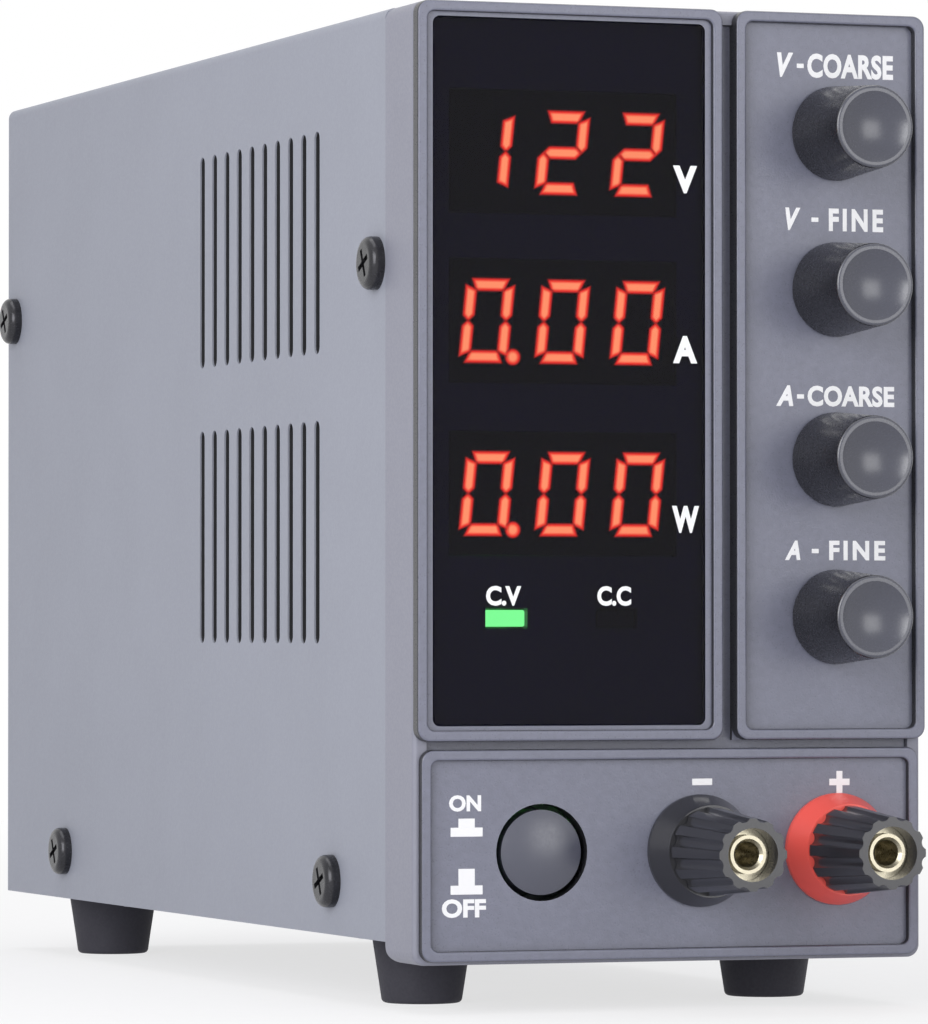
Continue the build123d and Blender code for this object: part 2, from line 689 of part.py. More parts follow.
def front_panel():
    """Moulded front panel: three raised frames on a plate, with bosses behind."""
    inner_x = shrink((-HALF + SURROUND_WALL, HALF - SURROUND_WALL), PANEL_FIT)
    inner_z = shrink((BEZEL_BOTTOM + CHIN_WALL, BEZEL_TOP - SURROUND_WALL), PANEL_FIT)
    panel = block(inner_x, (GROOVE_DEPTH, PANEL_BACK), inner_z)
    for x, z, lip_y, face_y in frame_outlines().values():
        frame = slab(x, z, FRAME_CORNER, (lip_y, FRAME_DEPTH))
        frame -= slab(shrink(x, LIP), shrink(z, LIP), RECESS_CORNER, (lip_y - 1, face_y))
        frame = fillet(frame.edges().group_by(Axis.Y)[0], LIP_ROUND)
        neck_x = (max(x[0], inner_x[0]), min(x[1], inner_x[1]))
        neck_z = (max(z[0], inner_z[0]), min(z[1], inner_z[1]))
        panel += frame + block(neck_x, (FRAME_DEPTH, GROOVE_DEPTH), neck_z)
    window_x, window_z = window_outline()
    pocket = (shrink(window_x, -WINDOW_FIT), shrink(window_z, -WINDOW_FIT))
    panel -= slab(*pocket, WINDOW_CORNER, (0, WINDOW_BACK))
    through = (-1, PANEL_BACK + 1)
    for height in DIGITS_UP:
        opening = (MODULE_WIDTH + 2 * MODULE_FIT, MODULE_HEIGHT + 2 * MODULE_FIT)
        panel -= block(around(DIGIT_X, opening[0]), through, around(up(height), opening[1]))
    for x in LED_X:
        opening = (LED_WIDTH + 2 * MODULE_FIT, LED_HEIGHT + 2 * MODULE_FIT)
        panel -= block(around(x, opening[0]), through, around(up(LED_UP), opening[1]))
    for _, height in KNOBS:
        panel -= rod_y(BUSHING_RADIUS + SHOULDER_FIT, through, KNOB_X, up(height))
    panel -= rod_y(BUTTON_HOLE_RADIUS, through, BUTTON_X, up(BUTTON_UP))
    for _, x in POST_X:
        panel -= rod_y(SHOULDER_RADIUS + SHOULDER_FIT, through, x, up(POST_UP))
    for x, height in PANEL_BOSSES:
        panel += panel_boss(x, height, PANEL_BOSS_RADIUS, SEAM_Y)
    for x, height in DISPLAY_BOSSES:
        panel += panel_boss(x, height, DISPLAY_BOSS_RADIUS, DISPLAY_BOARD_Y)
    return panel


def panel_boss(x, height, radius, end):
    """Screw boss on the back of the front panel."""
    boss = rod_y(radius, (PANEL_BACK, end), x, up(height))
    return boss - rod_y(SMALL_BORE, (PANEL_BACK + 1, end + 1), x, up(height))


def display_window():
    """Smoked window plate."""
    window_x, window_z = window_outline()
    return slab(window_x, window_z, WINDOW_CORNER - WINDOW_FIT, (WINDOW_SETBACK, WINDOW_BACK))


def digit_module(height):
    """Three-digit display module, standing on the display board."""
    return block(
        around(DIGIT_X, MODULE_WIDTH), (MODULE_FRONT, DISPLAY_BOARD_Y), around(up(height), MODULE_HEIGHT)
    )


def indicator(x):
    """Rectangular indicator lamp."""
    depth = (MODULE_FRONT, DISPLAY_BOARD_Y)
    return slab(around(x, LED_WIDTH), around(up(LED_UP), LED_HEIGHT), LED_CORNER, depth)


def display_board():
    """Circuit board that carries the display modules and indicators."""
    z = [up(v) for v in DISPLAY_BOARD_UP]
    y = (DISPLAY_BOARD_Y, DISPLAY_BOARD_Y + BOARD)
    board = block(DISPLAY_BOARD_X, y, z)
    through = (y[0] - 1, y[1] + 1)
    x, height = PANEL_BOSSES[0]
    board -= rod_y(PANEL_BOSS_RADIUS + PASS_CLEARANCE, through, x, up(height))
    for x, height in DISPLAY_BOSSES:
        board -= rod_y(SMALL_BORE, through, x, up(height))
    return board


def control_board():
    """Circuit board behind the potentiometers."""
    return block(CONTROL_BOARD_X, (POT_BACK, POT_BACK + BOARD), [up(v) for v in CONTROL_BOARD_UP])


def potentiometer(height):
    """Potentiometer body with its bushing through the panel."""
    z = up(height)
    bushing_front = SKIRT_FRONT + BUSHING_REACH
    body = rod_y(POT_RADIUS, (PANEL_BACK, POT_BACK), KNOB_X, z)
    body += block(around(KNOB_X, 2 * POT_RADIUS), (PANEL_BACK, POT_BACK), (z - POT_RADIUS, z))
    body += rod_y(BUSHING_RADIUS, (bushing_front, PANEL_BACK), KNOB_X, z)
    bore = SHAFT_RADIUS + SHAFT_CLEARANCE
    return body - rod_y(bore, (bushing_front - 1, POT_BACK - POT_BACK_WALL), KNOB_X, z)


def pot_nut(height):
    """Nut that clamps a potentiometer to the panel."""
    y = (CONTROL_FACE - NUT_THICKNESS, CONTROL_FACE)
    return hexagon(POT_NUT_FLATS, y, KNOB_X, up(height), BUSHING_RADIUS + SHAFT_CLEARANCE)


def flatted_rod(radius, flat, y, x, z):
    """Round shaft with a flat on its underside."""
    rod = rod_y(radius, y, x, z)
    return rod - block(around(x, 2 * radius + 1), (y[0] - 1, y[1] + 1), (z - radius - 1, z - flat))


def shaft(height):
    """Flatted potentiometer shaft."""
    tip = -KNOB_REACH + KNOB_DISH_DEPTH + SHAFT_TIP
    z = up(height)
    rod = flatted_rod(SHAFT_RADIUS, SHAFT_FLAT, (tip, SKIRT_FRONT), KNOB_X, z)
    return rod + rod_y(SHAFT_RADIUS, (SKIRT_FRONT, POT_BACK - POT_BACK_WALL - END_GAP), KNOB_X, z)


def knob(height):
    """Tapered push-on knob with a dished end."""
    z = up(height)
    front = -KNOB_REACH
    profile = ((0, front), (KNOB_FRONT_RADIUS, front), (KNOB_BASE_RADIUS, KNOB_BASE), (0, KNOB_BASE))
    body = turned(profile, KNOB_X, z)
    body = fillet(body.edges().group_by(Axis.Y)[0], KNOB_EDGE)
    sphere_radius = (KNOB_DISH_RADIUS**2 + KNOB_DISH_DEPTH**2) / (2 * KNOB_DISH_DEPTH)
    body -= Pos(KNOB_X, front + KNOB_DISH_DEPTH - sphere_radius, z) * Sphere(sphere_radius)
    body -= rod_y(KNOB_BASE_RADIUS - KNOB_SKIRT, (SKIRT_FRONT, KNOB_BASE + 1), KNOB_X, z)
    bore_y = (front + KNOB_DISH_DEPTH + SHAFT_TIP - END_GAP, SKIRT_FRONT + 1)
    radius = SHAFT_RADIUS + SHAFT_CLEARANCE
    return body - flatted_rod(radius, SHAFT_FLAT + SHAFT_CLEARANCE, bore_y, KNOB_X, z)


def power_button():
    """Crowned round cap of the power switch, latched in as it is while the supply is on."""
    z = up(BUTTON_UP)
    back = BUTTON_RIM + BUTTON_LENGTH
    profile = ((0, BUTTON_RIM), (BUTTON_RADIUS, BUTTON_RIM), (BUTTON_RADIUS, back), (0, back))
    cap = turned(profile, BUTTON_X, z)
    dome_radius = (BUTTON_RADIUS**2 + BUTTON_CROWN**2) / (2 * BUTTON_CROWN)
    dome = Pos(BUTTON_X, BUTTON_RIM - BUTTON_CROWN + dome_radius, z) * Sphere(dome_radius)
    cap += dome & rod_y(BUTTON_RADIUS, (BUTTON_RIM - BUTTON_CROWN - 1, back), BUTTON_X, z)
    hollow = BUTTON_RADIUS - BUTTON_WALL
    cap -= rod_y(hollow, (BUTTON_RIM + BUTTON_WALL, back + 1), BUTTON_X, z)
    stem = rod_y(BUTTON_STEM_RADIUS, (BUTTON_RIM, back), BUTTON_X, z)
    socket = block(
        around(BUTTON_X, PLUNGER_WIDTH + 2 * SHAFT_CLEARANCE),
        (BUTTON_RIM + 2 * BUTTON_WALL, back + 1),
        around(z, PLUNGER_HEIGHT + 2 * SHAFT_CLEARANCE),
    )
    return (cap + stem) - socket


def switch_plunger():
    """Plunger between the button cap and the switch."""
    y = (BUTTON_RIM + 2 * BUTTON_WALL + SHAFT_CLEARANCE, SWITCH_FRONT + SHEET + SWITCH_DEPTH)
    return block(around(BUTTON_X, PLUNGER_WIDTH), y, around(up(BUTTON_UP), PLUNGER_HEIGHT))


def switch_tag_places():
    """(x, z) of the switch's four tags."""
    z = up(BUTTON_UP)
    sides = (-1, 1)
    return [(BUTTON_X + a * SWITCH_TAG_X, z + b * SWITCH_TAG_Z) for a in sides for b in sides]


def power_switch():
    """Latching switch body with its tags."""
    z = up(BUTTON_UP)
    front = SWITCH_FRONT + SHEET
    body = block(around(BUTTON_X, SWITCH_WIDTH), (front, SWITCH_BACK), around(z, SWITCH_HEIGHT))
    body -= block(
        around(BUTTON_X, PLUNGER_WIDTH + 2 * PLUNGER_FIT),
        (front - 1, front + SWITCH_DEPTH + SWITCH_OVERTRAVEL),
        around(z, PLUNGER_HEIGHT + 2 * PLUNGER_FIT),
    )
    for x, tag_z in switch_tag_places():
        tag_y = (SWITCH_BACK - 1, SWITCH_BACK + SWITCH_TAG)
        body += block(around(x, SWITCH_TAG_WIDTH), tag_y, around(tag_z, SWITCH_TAG_THICKNESS))
    return body


def switch_bracket():
    """Folded bracket that holds the switch on the floor."""
    z = up(BUTTON_UP)
    wide = around(BUTTON_X, BRACKET_WIDTH)
    upright = (SWITCH_FRONT, SWITCH_FRONT + SHEET)
    bracket = block(wide, upright, (FLOOR_TOP, z + SWITCH_HEIGHT / 2 + BRACKET_HEAD))
    bracket += block(wide, (SWITCH_FRONT - BRACKET_FOOT, upright[1]), (FLOOR_TOP, FLOOR_TOP + SHEET))
    bracket -= block(
        around(BUTTON_X, PLUNGER_WIDTH + 4 * PLUNGER_FIT), (upright[0] - 1, upright[1] + 1),
        around(z, PLUNGER_HEIGHT + 4 * PLUNGER_FIT),
    )
    for x, y in switch_bracket_screws():
        bracket -= rod_z(SMALL_BORE, (FLOOR_TOP - 1, FLOOR_TOP + SHEET + 1), x, y)
    return bracket


def post_collar(x):
    """Insulating collar of a binding post, its shoulder through the panel."""
    face = TERMINAL_FACE
    rim = face - COLLAR_RIM
    bore = STUD_RADIUS + POST_CLEARANCE
    profile = (
        (bore, COLLAR_FRONT), (COLLAR_FRONT_RADIUS, COLLAR_FRONT), (COLLAR_RADIUS, rim),
        (COLLAR_RADIUS, face), (SHOULDER_RADIUS, face), (SHOULDER_RADIUS, PANEL_BACK), (bore, PANEL_BACK),
    )
    return turned(profile, x, up(POST_UP))


def post_stud(x):
    """Brass stud with its plug socket and wire hole."""
    z = up(POST_UP)
    mouth = SOCKET_RADIUS + SOCKET_CHAMFER
    bottom = STUD_TIP + SOCKET_DEPTH
    profile = (
        (mouth, STUD_TIP), (STUD_RADIUS, STUD_TIP), (STUD_RADIUS, STUD_BACK), (0, STUD_BACK), (0, bottom),
        (SOCKET_RADIUS, bottom), (SOCKET_RADIUS, STUD_TIP + SOCKET_CHAMFER),
    )
    return turned(profile, x, z) - rod_x(WIRE_HOLE_RADIUS, around(x, 3 * STUD_RADIUS), WIRE_HOLE_Y, z)


def post_cap(x):
    """Fluted screw cap of a binding post."""
    z = up(POST_UP)
    profile = ((0, CAP_TIP), (CAP_TIP_RADIUS, CAP_TIP), (CAP_BASE_RADIUS, CAP_BASE), (0, CAP_BASE))
    cap = turned(profile, x, z)
    length = CAP_BASE - CAP_TIP
    reach = FLUTE_RADIUS - FLUTE_DEPTH
    for index in range(CAP_LOBES):
        turn = radians((index + 0.5) * 360 / CAP_LOBES)
        ends = []
        for radius, y in ((CAP_TIP_RADIUS, CAP_TIP - 1), (CAP_BASE_RADIUS, CAP_BASE + 1)):
            ends.append(Vector(x + (radius + reach) * cos(turn), y, z + (radius + reach) * sin(turn)))
        path = ends[1] - ends[0]
        cap -= Plane(origin=ends[0], z_dir=path) * Cylinder(
            FLUTE_RADIUS, path.length, align=(Align.CENTER, Align.CENTER, Align.MIN)
        )
    cap -= rod_y(CAP_RECESS_RADIUS, (CAP_TIP - 1, CAP_TIP + length / 2), x, z)
    seat = CAP_TIP + CAP_RECESS_DEPTH
    return cap - rod_y(INSERT_RADIUS + POST_CLEARANCE, (seat, CAP_BASE + 1), x, z)


def post_insert(x):
    """Brass insert inside a cap, running on the stud."""
    y = (INSERT_FRONT, INSERT_FRONT + INSERT_LENGTH)
    z = up(POST_UP)
    return rod_y(INSERT_RADIUS, y, x, z) - rod_y(STUD_RADIUS + POST_CLEARANCE, (y[0] - 1, y[1] + 1), x, z)


def post_bush(x):
    """Insulating bush behind the panel."""
    y = (PANEL_BACK, PANEL_BACK + BUSH_THICKNESS)
    z = up(POST_UP)
    return rod_y(BUSH_RADIUS, y, x, z) - rod_y(STUD_RADIUS + POST_CLEARANCE, (y[0] - 1, y[1] + 1), x, z)


def post_nuts(x):
    """Clamping nut and tag nut of a post."""
    first = PANEL_BACK + BUSH_THICKNESS
    second = first + POST_NUT_THICKNESS + TAG_THICKNESS
    bore = STUD_RADIUS + POST_CLEARANCE
    z = up(POST_UP)
    return [
        hexagon(POST_NUT_FLATS, (front, front + POST_NUT_THICKNESS), x, z, bore) for front in (first, second)
    ]


def post_tag(x):
    """Solder tag between the nuts of a post, pointing down."""
    y = (TAG_FRONT, TAG_FRONT + TAG_THICKNESS)
    z = up(POST_UP)
    tag = rod_y(POST_NUT_FLATS / 2, y, x, z) + block(around(x, TAG_WIDTH), y, (z - TAG_LENGTH, z))
    return tag - rod_y(STUD_RADIUS + POST_CLEARANCE, (TAG_FRONT - 1, y[1] + 1), x, z)


def earth_tag():
    """Earth tag under the nut of a rear panel screw, pointing to the front."""
    x, y = rear_panel_screws()[0]
    z = (FLOOR_TOP + SHEET, FLOOR_TOP + SHEET + TAG_THICKNESS)
    tag = rod_z(SMALL_HEAD_RADIUS, z, x, y) + block(around(x, TAG_WIDTH), (y - TAG_LENGTH, y), z)
    return tag - rod_z(SMALL_BORE, (z[0] - 1, z[1] + 1), x, y)


def foot(x, y):
    """Conical rubber foot."""
    standing = (Align.CENTER, Align.CENTER, Align.MIN)
    cone = Cone(FOOT_BOTTOM_RADIUS, FOOT_TOP_RADIUS, FOOT_HEIGHT, align=standing)
    cone = fillet(cone.edges().group_by(Axis.Z)[0], FOOT_EDGE)
    cone -= rod_z(SMALL_HEAD_RADIUS + HEAD_CLEARANCE, (-1, FOOT_SCREW_RECESS))
    cone -= rod_z(SMALL_BORE, (-1, FOOT_HEIGHT + 1))
    return Pos(x, y, 0) * cone


def foot_screws():
    """Screws of the feet, their heads in the feet's recesses."""
    length = FOOT_HEIGHT - FOOT_SCREW_RECESS + SHEET + NUT_THICKNESS + SCREW_STAND_OUT
    return [Pos(x, y, FOOT_SCREW_RECESS) * Rot(180, 0, 0) * small_screw(length) for x, y in foot_places()]


def floor_nut(x, y, z=FLOOR_TOP):
    """Hexagon nut above the floor."""
    polygon = RegularPolygon(SMALL_NUT_FLATS / 2, 6, major_radius=False)
    nut = extrude(Plane(origin=(x, y, z)) * polygon, amount=NUT_THICKNESS)
    return nut - rod_z(SMALL_BORE, (z - 1, z + NUT_THICKNESS + 1), x, y)


def floor_nuts():
    """Nuts of the feet, the switch bracket and the rear panel's foot."""
    made = [floor_nut(x, y) for x, y in foot_places()]
    made += [floor_nut(x, y, FLOOR_TOP + SHEET) for x, y in switch_bracket_screws()]
    earthed, plain = rear_panel_screws()
    made.append(floor_nut(*earthed, FLOOR_TOP + SHEET + TAG_THICKNESS))
    return made + [floor_nut(*plain, FLOOR_TOP + SHEET)]


def side_screws():
    """The eight cover screws."""
    screws = []
    for y, z in side_screw_places():
        for side in (-1, 1):
            screw = pan_screw(SIDE_SCREW_RADIUS, SIDE_SCREW_LENGTH, SIDE_HEAD_RADIUS, SIDE_HEAD_HEIGHT)
            turned_screw = Rot(0, side * 90, 0) * Rot(0, 0, SIDE_SCREW_TURN) * screw
            screws.append(Pos(side * HALF, y, z) * turned_screw)
    return screws


def bracket_screws():
    """Screws through the floor into the rear panel's foot and the switch bracket, from below."""
    places = rear_panel_screws() + switch_bracket_screws()
    length = 2 * SHEET + TAG_THICKNESS + NUT_THICKNESS + SCREW_STAND_OUT
    return [Pos(x, y, SHELL_BOTTOM) * Rot(180, 0, 0) * small_screw(length) for x, y in places]


def front_screws():
    """Screws through the chassis plate into the front panel's bosses."""
    screw = Rot(-90, 0, 0) * small_screw(FRONT_SCREW_LENGTH)
    return [Pos(x, PLATE_BACK, up(z)) * screw for x, z in PANEL_BOSSES]


def display_board_screws():
    """Screws of the display board."""
    screw = Rot(-90, 0, 0) * small_screw(DISPLAY_SCREW_LENGTH)
    return [Pos(x, DISPLAY_BOARD_Y + BOARD, up(z)) * screw for x, z in DISPLAY_BOSSES]


def standoff(x, y):
    """Standoff under the main board."""
    post = rod_z(STANDOFF_RADIUS, (FLOOR_TOP, BOARD_BOTTOM), x, y)
    return post - rod_z(SMALL_BORE, (FLOOR_TOP - 1, BOARD_BOTTOM + 1), x, y)


def board_screws():
    """Screws of the main board's standoffs, from above and below."""
    upper = small_screw(BOARD_SCREW_LENGTH)
    lower = Rot(180, 0, 0) * small_screw(STANDOFF_SCREW_LENGTH)
    screws = []
    for x, y in standoff_places():
        screws.append(Pos(x, y, BOARD_TOP) * upper)
        screws.append(Pos(x, y, SHELL_BOTTOM) * lower)
    return screws


def main_board():
    """Main circuit board."""
    board = block(MAIN_X, MAIN_Y, (BOARD_BOTTOM, BOARD_TOP))
    for x, y in standoff_places():
        board -= rod_z(SMALL_BORE, (BOARD_BOTTOM - 1, BOARD_TOP + 1), x, y)
    return board


def capacitor(radius, height, x, y):
    """Upright electrolytic capacitor with its crimp groove."""
    can = rod_z(radius, (BOARD_TOP, BOARD_TOP + height), x, y)
    can = fillet(can.edges().group_by(Axis.Z)[-1], CAN_EDGE)
    groove_z = BOARD_TOP + height * CAN_GROOVE_SHARE
    ring = radius + CAN_GROOVE_RADIUS - CAN_GROOVE_DEPTH
    groove = Pos(x, y, groove_z) * Torus(ring, CAN_GROOVE_RADIUS)
    return can - groove


def transformer_core():
    """Ferrite core with two windows about a centre leg."""
    x, y = CORE_PLACE
    z = (BOARD_TOP, BOARD_TOP + CORE_HEIGHT)
    core = block(around(x, CORE_WIDTH), around(y, CORE_DEPTH), z)
    window = (CORE_LEG / 2, CORE_WIDTH / 2 - CORE_BAR)
    for side in (-1, 1):
        limits = sorted((x + side * window[0], x + side * window[1]))
        core -= block(limits, around(y, CORE_DEPTH + 2), shrink(z, CORE_BAR))
    return core


def transformer_coil():
    """Taped winding about the centre leg."""
    x, y = CORE_PLACE
    width = CORE_WIDTH - 2 * CORE_BAR - 2 * COIL_CLEARANCE
    z = shrink((BOARD_TOP, BOARD_TOP + CORE_HEIGHT), CORE_BAR + COIL_CLEARANCE)
    coil = block(around(x, width), around(y, COIL_DEPTH), z)
    coil = fillet(coil.edges().filter_by(Axis.Z), COIL_CORNER)
    leg = (CORE_LEG + 2 * COIL_CLEARANCE, CORE_DEPTH + 2 * COIL_CLEARANCE)
    return coil - block(around(x, leg[0]), around(y, leg[1]), (z[0] - 1, z[1] + 1))


def heatsink(x, y, inward):
    """Finned aluminium heatsink on edge, its fins pointing inward beside a bare middle stretch."""
    z = (BOARD_TOP, BOARD_TOP + SINK_HEIGHT)
    sink = block(sorted((x, x + inward * SINK_BACK)), y, z)
    reach = sorted((x, x + inward * (SINK_BACK + SINK_REACH)))
    bare = DEVICE_WIDTH / 2 + SINK_FIN
    count = int((y[1] - y[0] - SINK_FIN) / SINK_FIN_PITCH) + 1
    for index in range(count):
        start = y[0] + index * SINK_FIN_PITCH
        if abs(start + SINK_FIN / 2 - sum(y) / 2) > bare:
            sink += block(reach, (start, start + SINK_FIN), z)
    return sink


def power_device(x, y, inward):
    """Power semiconductor flat on the bare stretch of a heatsink, its legs down to the board."""
    face = x + inward * SINK_BACK
    middle = sum(y) / 2
    z = BOARD_TOP + DEVICE_RISE
    depth = sorted((face, face + inward * DEVICE_DEPTH))
    body = block(depth, around(middle, DEVICE_WIDTH), (z, z + DEVICE_HEIGHT))
    for step in (-DEVICE_LEG_PITCH, 0.0, DEVICE_LEG_PITCH):
        leg_y = around(middle + step, DEVICE_LEG)
        body += block(around(sum(depth) / 2, DEVICE_LEG), leg_y, (BOARD_TOP, z + 1))
    return body


def output_choke():
    """Wound toroid lying on the board."""
    x, y = TOROID_PLACE
    return Pos(x, y, BOARD_TOP + TOROID_WIRE) * Torus(TOROID_RADIUS - TOROID_WIRE, TOROID_WIRE)


def boxed(place, width, depth, height):
    """Boxed component standing on the main board."""
    x, y = place
    body = block(around(x, width), around(y, depth), (BOARD_TOP, BOARD_TOP + height))
    return fillet(body.edges().filter_by(Axis.Z), COMPONENT_CORNER)


def terminal_block(place, along_x):
    """Two-way screw terminal block of the main board."""
    length, depth = TERMINAL_LENGTH, TERMINAL_DEPTH
    width, deep = (length, depth) if along_x else (depth, length)
    body = boxed(place, width, deep, TERMINAL_HEIGHT)
    top = BOARD_TOP + TERMINAL_HEIGHT
    for step in (-TERMINAL_PITCH / 2, TERMINAL_PITCH / 2):
        x, y = (place[0] + step, place[1]) if along_x else (place[0], place[1] + step)
        body -= rod_z(TERMINAL_SCREW_RADIUS, (top - TERMINAL_SCREW_RECESS, top + 1), x, y)
    return body


def fan_frame():
    """Square fan frame with its struts and motor plate on the outlet side."""
    z = up(FAN_UP)
    y = (FAN_FRONT, REAR_INSIDE)
    frame = slab(around(0, FAN_SIZE), around(z, FAN_SIZE), FAN_CORNER, y)
    frame -= rod_y(FAN_BORE_RADIUS, (y[0] - 1, y[1] + 1), 0, z)
    plate = (y[1] - FAN_MOTOR_PLATE, y[1])
    reach = FAN_BORE_RADIUS + 1
    for turn in (45, 135, 225, 315):
        middle = Pos(0, sum(plate) / 2, z) * Rot(0, turn, 0) * Pos(reach / 2, 0, 0)
        frame += middle * Box(reach, FAN_MOTOR_PLATE, FAN_STRUT)
    frame += rod_y(FAN_MOTOR_RADIUS, plate, 0, z)
    axle_bore = (plate[0] - 1, plate[0] + AXLE_SEAT_DEPTH)
    frame -= rod_y(AXLE_RADIUS + SHAFT_CLEARANCE, axle_bore, 0, z)
    for x, corner_z in fan_places():
        frame -= rod_y(SMALL_BORE, (y[0] - 1, y[1] + 1), x, corner_z)
    return frame


def fan_rotor():
    """Seven-bladed rotor on its axle."""
    z = up(FAN_UP)
    start = FAN_FRONT + FAN_MARGIN
    y = (start, start + ROTOR_DEPTH)
    middle = sum(y) / 2
    blades = Part()
    for index in range(BLADE_COUNT):
        place = Pos(0, middle, z) * Rot(0, index * 360 / BLADE_COUNT, 0) * Pos(ROTOR_RADIUS / 2, 0, 0)
        blades += place * Rot(BLADE_PITCH_ANGLE, 0, 0) * Box(ROTOR_RADIUS + 2, BLADE_THICKNESS, BLADE_CHORD)
    blades = blades & rod_y(ROTOR_RADIUS, y, 0, z)
    hub = rod_y(ROTOR_HUB_RADIUS, (y[0], REAR_INSIDE - FAN_MOTOR_PLATE - FAN_MARGIN), 0, z)
    axle = rod_y(AXLE_RADIUS, (middle, REAR_INSIDE - FAN_MOTOR_PLATE + AXLE_SEAT), 0, z)
    return hub + blades + axle


def fan_guard():
    """Wire finger guard outside the rear panel."""
    z = up(FAN_UP)
    middle = REAR_Y + GUARD_WIRE / 2
    guard = Part()
    for radius in GUARD_RINGS:
        ring = rod_y(radius + GUARD_WIRE / 2, (REAR_Y, GUARD_BACK), 0, z)
        guard += ring - rod_y(radius - GUARD_WIRE / 2, (REAR_Y - 1, GUARD_BACK + 1), 0, z)
    reach = FAN_HOLE_PITCH / 2 * 2**0.5
    for turn in (45, 135):
        guard += Pos(0, middle, z) * Rot(0, turn, 0) * Box(2 * reach, GUARD_WIRE, GUARD_WIRE)
    for x, corner_z in fan_places():
        guard += rod_y(GUARD_EAR_RADIUS, (REAR_Y, GUARD_BACK), x, corner_z)
    for x, corner_z in fan_places():
        guard -= rod_y(SMALL_BORE, (REAR_Y - 1, GUARD_BACK + 1), x, corner_z)
    return guard


def rear_screws():
    """Screws of the fan and of the mains inlet."""
    fan_screw = Rot(-90, 0, 0) * small_screw(FAN_SCREW_LENGTH)
    fan = [Pos(x, GUARD_BACK, z) * fan_screw for x, z in fan_places()]
    seat = INLET_FACE - SMALL_HEAD_HEIGHT
    inlet_screw = Rot(-90, 0, 0) * small_screw(INLET_SCREW_LENGTH)
    return fan + [Pos(x, seat, up(INLET_UP)) * inlet_screw for x in inlet_screw_places()]


def cavity_section(width, height, chamfer, y, x, z):
    """Six-sided socket outline with its two upper corners cut off, along y."""
    half, top, bottom = width / 2, height / 2, -height / 2
    points = (
        (x - half, z + bottom), (x + half, z + bottom), (x + half, z + top - chamfer),
        (x + half - chamfer, z + top), (x - half + chamfer, z + top), (x - half, z + top - chamfer),
    )
    corners = [Vector(px, y[0], pz) for px, pz in points]
    face = make_face(Polyline(*corners, close=True))
    return extrude(face, amount=y[1] - y[0], dir=(0, 1, 0))


def inlet_pin_places():
    """(x, z) of the three mains pins."""
    z = up(INLET_UP) + CAVITY_DROP
    left, right = around(INLET_X, 2 * PIN_SPACING)
    return ((left, z - PIN_STEP), (INLET_X, z + PIN_STEP), (right, z - PIN_STEP))


def mains_inlet():
    """Moulded mains inlet: flange, body, plug cavity and the fuse drawer's slot."""
    z = up(INLET_UP)
    face = INLET_FACE
    flange = (around(INLET_X, INLET_FLANGE_WIDTH), around(z, INLET_FLANGE_HEIGHT))
    inlet = slab(*flange, INLET_CORNER, (REAR_Y, face))
    body = (around(INLET_X, INLET_BODY_WIDTH), around(z, INLET_BODY_HEIGHT))
    inlet += slab(*body, SHEET_CORNER, (INLET_BACK, REAR_Y + 1))
    inlet -= cavity_section(
        CAVITY_WIDTH, CAVITY_HEIGHT, CAVITY_CHAMFER, (face - CAVITY_DEPTH, face + 1), INLET_X, z + CAVITY_DROP
    )
    slot = (DRAWER_WIDTH + 2 * DRAWER_FIT, DRAWER_HEIGHT + 2 * DRAWER_FIT)
    slot_y = (face - DRAWER_LENGTH - DRAWER_FIT, face + 1)
    inlet -= block(around(INLET_X, slot[0]), slot_y, around(z + DRAWER_RISE, slot[1]))
    for x, pin_z in inlet_pin_places():
        inlet -= block(around(x, PIN_WIDTH), (INLET_BACK - 1, face), around(pin_z, PIN_HEIGHT))
    for x in inlet_screw_places():
        inlet -= rod_y(SMALL_BORE, (REAR_Y - 1, face + 1), x, z)
        head = SMALL_HEAD_RADIUS + INLET_HEAD_CLEARANCE
        inlet -= rod_y(head, (face - SMALL_HEAD_HEIGHT, face + 1), x, z)
    return inlet


def inlet_pins():
    """Three mains pins with their tails."""
    face = INLET_FACE
    y = (INLET_BACK - PIN_TAIL, face - PIN_RECESS)
    return [block(around(x, PIN_WIDTH), y, around(z, PIN_HEIGHT)) for x, z in inlet_pin_places()]


def fuse_drawer():
    """Pull-out fuse drawer."""
    face = INLET_FACE
    z = up(INLET_UP) + DRAWER_RISE
    length = (face - DRAWER_LENGTH, face + DRAWER_LIP)
    drawer = block(around(INLET_X, DRAWER_WIDTH), length, around(z, DRAWER_HEIGHT))
    width = around(INLET_X, 2 * (FUSE_RADIUS + FUSE_FIT))
    return drawer - block(width, fuse_tray(), (z - FUSE_RADIUS - FUSE_FIT, z + DRAWER_HEIGHT))


def fuse_tray():
    """y limits of the drawer's tray."""
    return (INLET_FACE - DRAWER_LENGTH + DRAWER_WALL, INLET_FACE - DRAWER_FRONT)


def fuse():
    """Glass cartridge fuse lying in the drawer."""
    middle = sum(fuse_tray()) / 2
    return rod_y(FUSE_RADIUS, around(middle, FUSE_LENGTH), INLET_X, up(INLET_UP) + DRAWER_RISE)


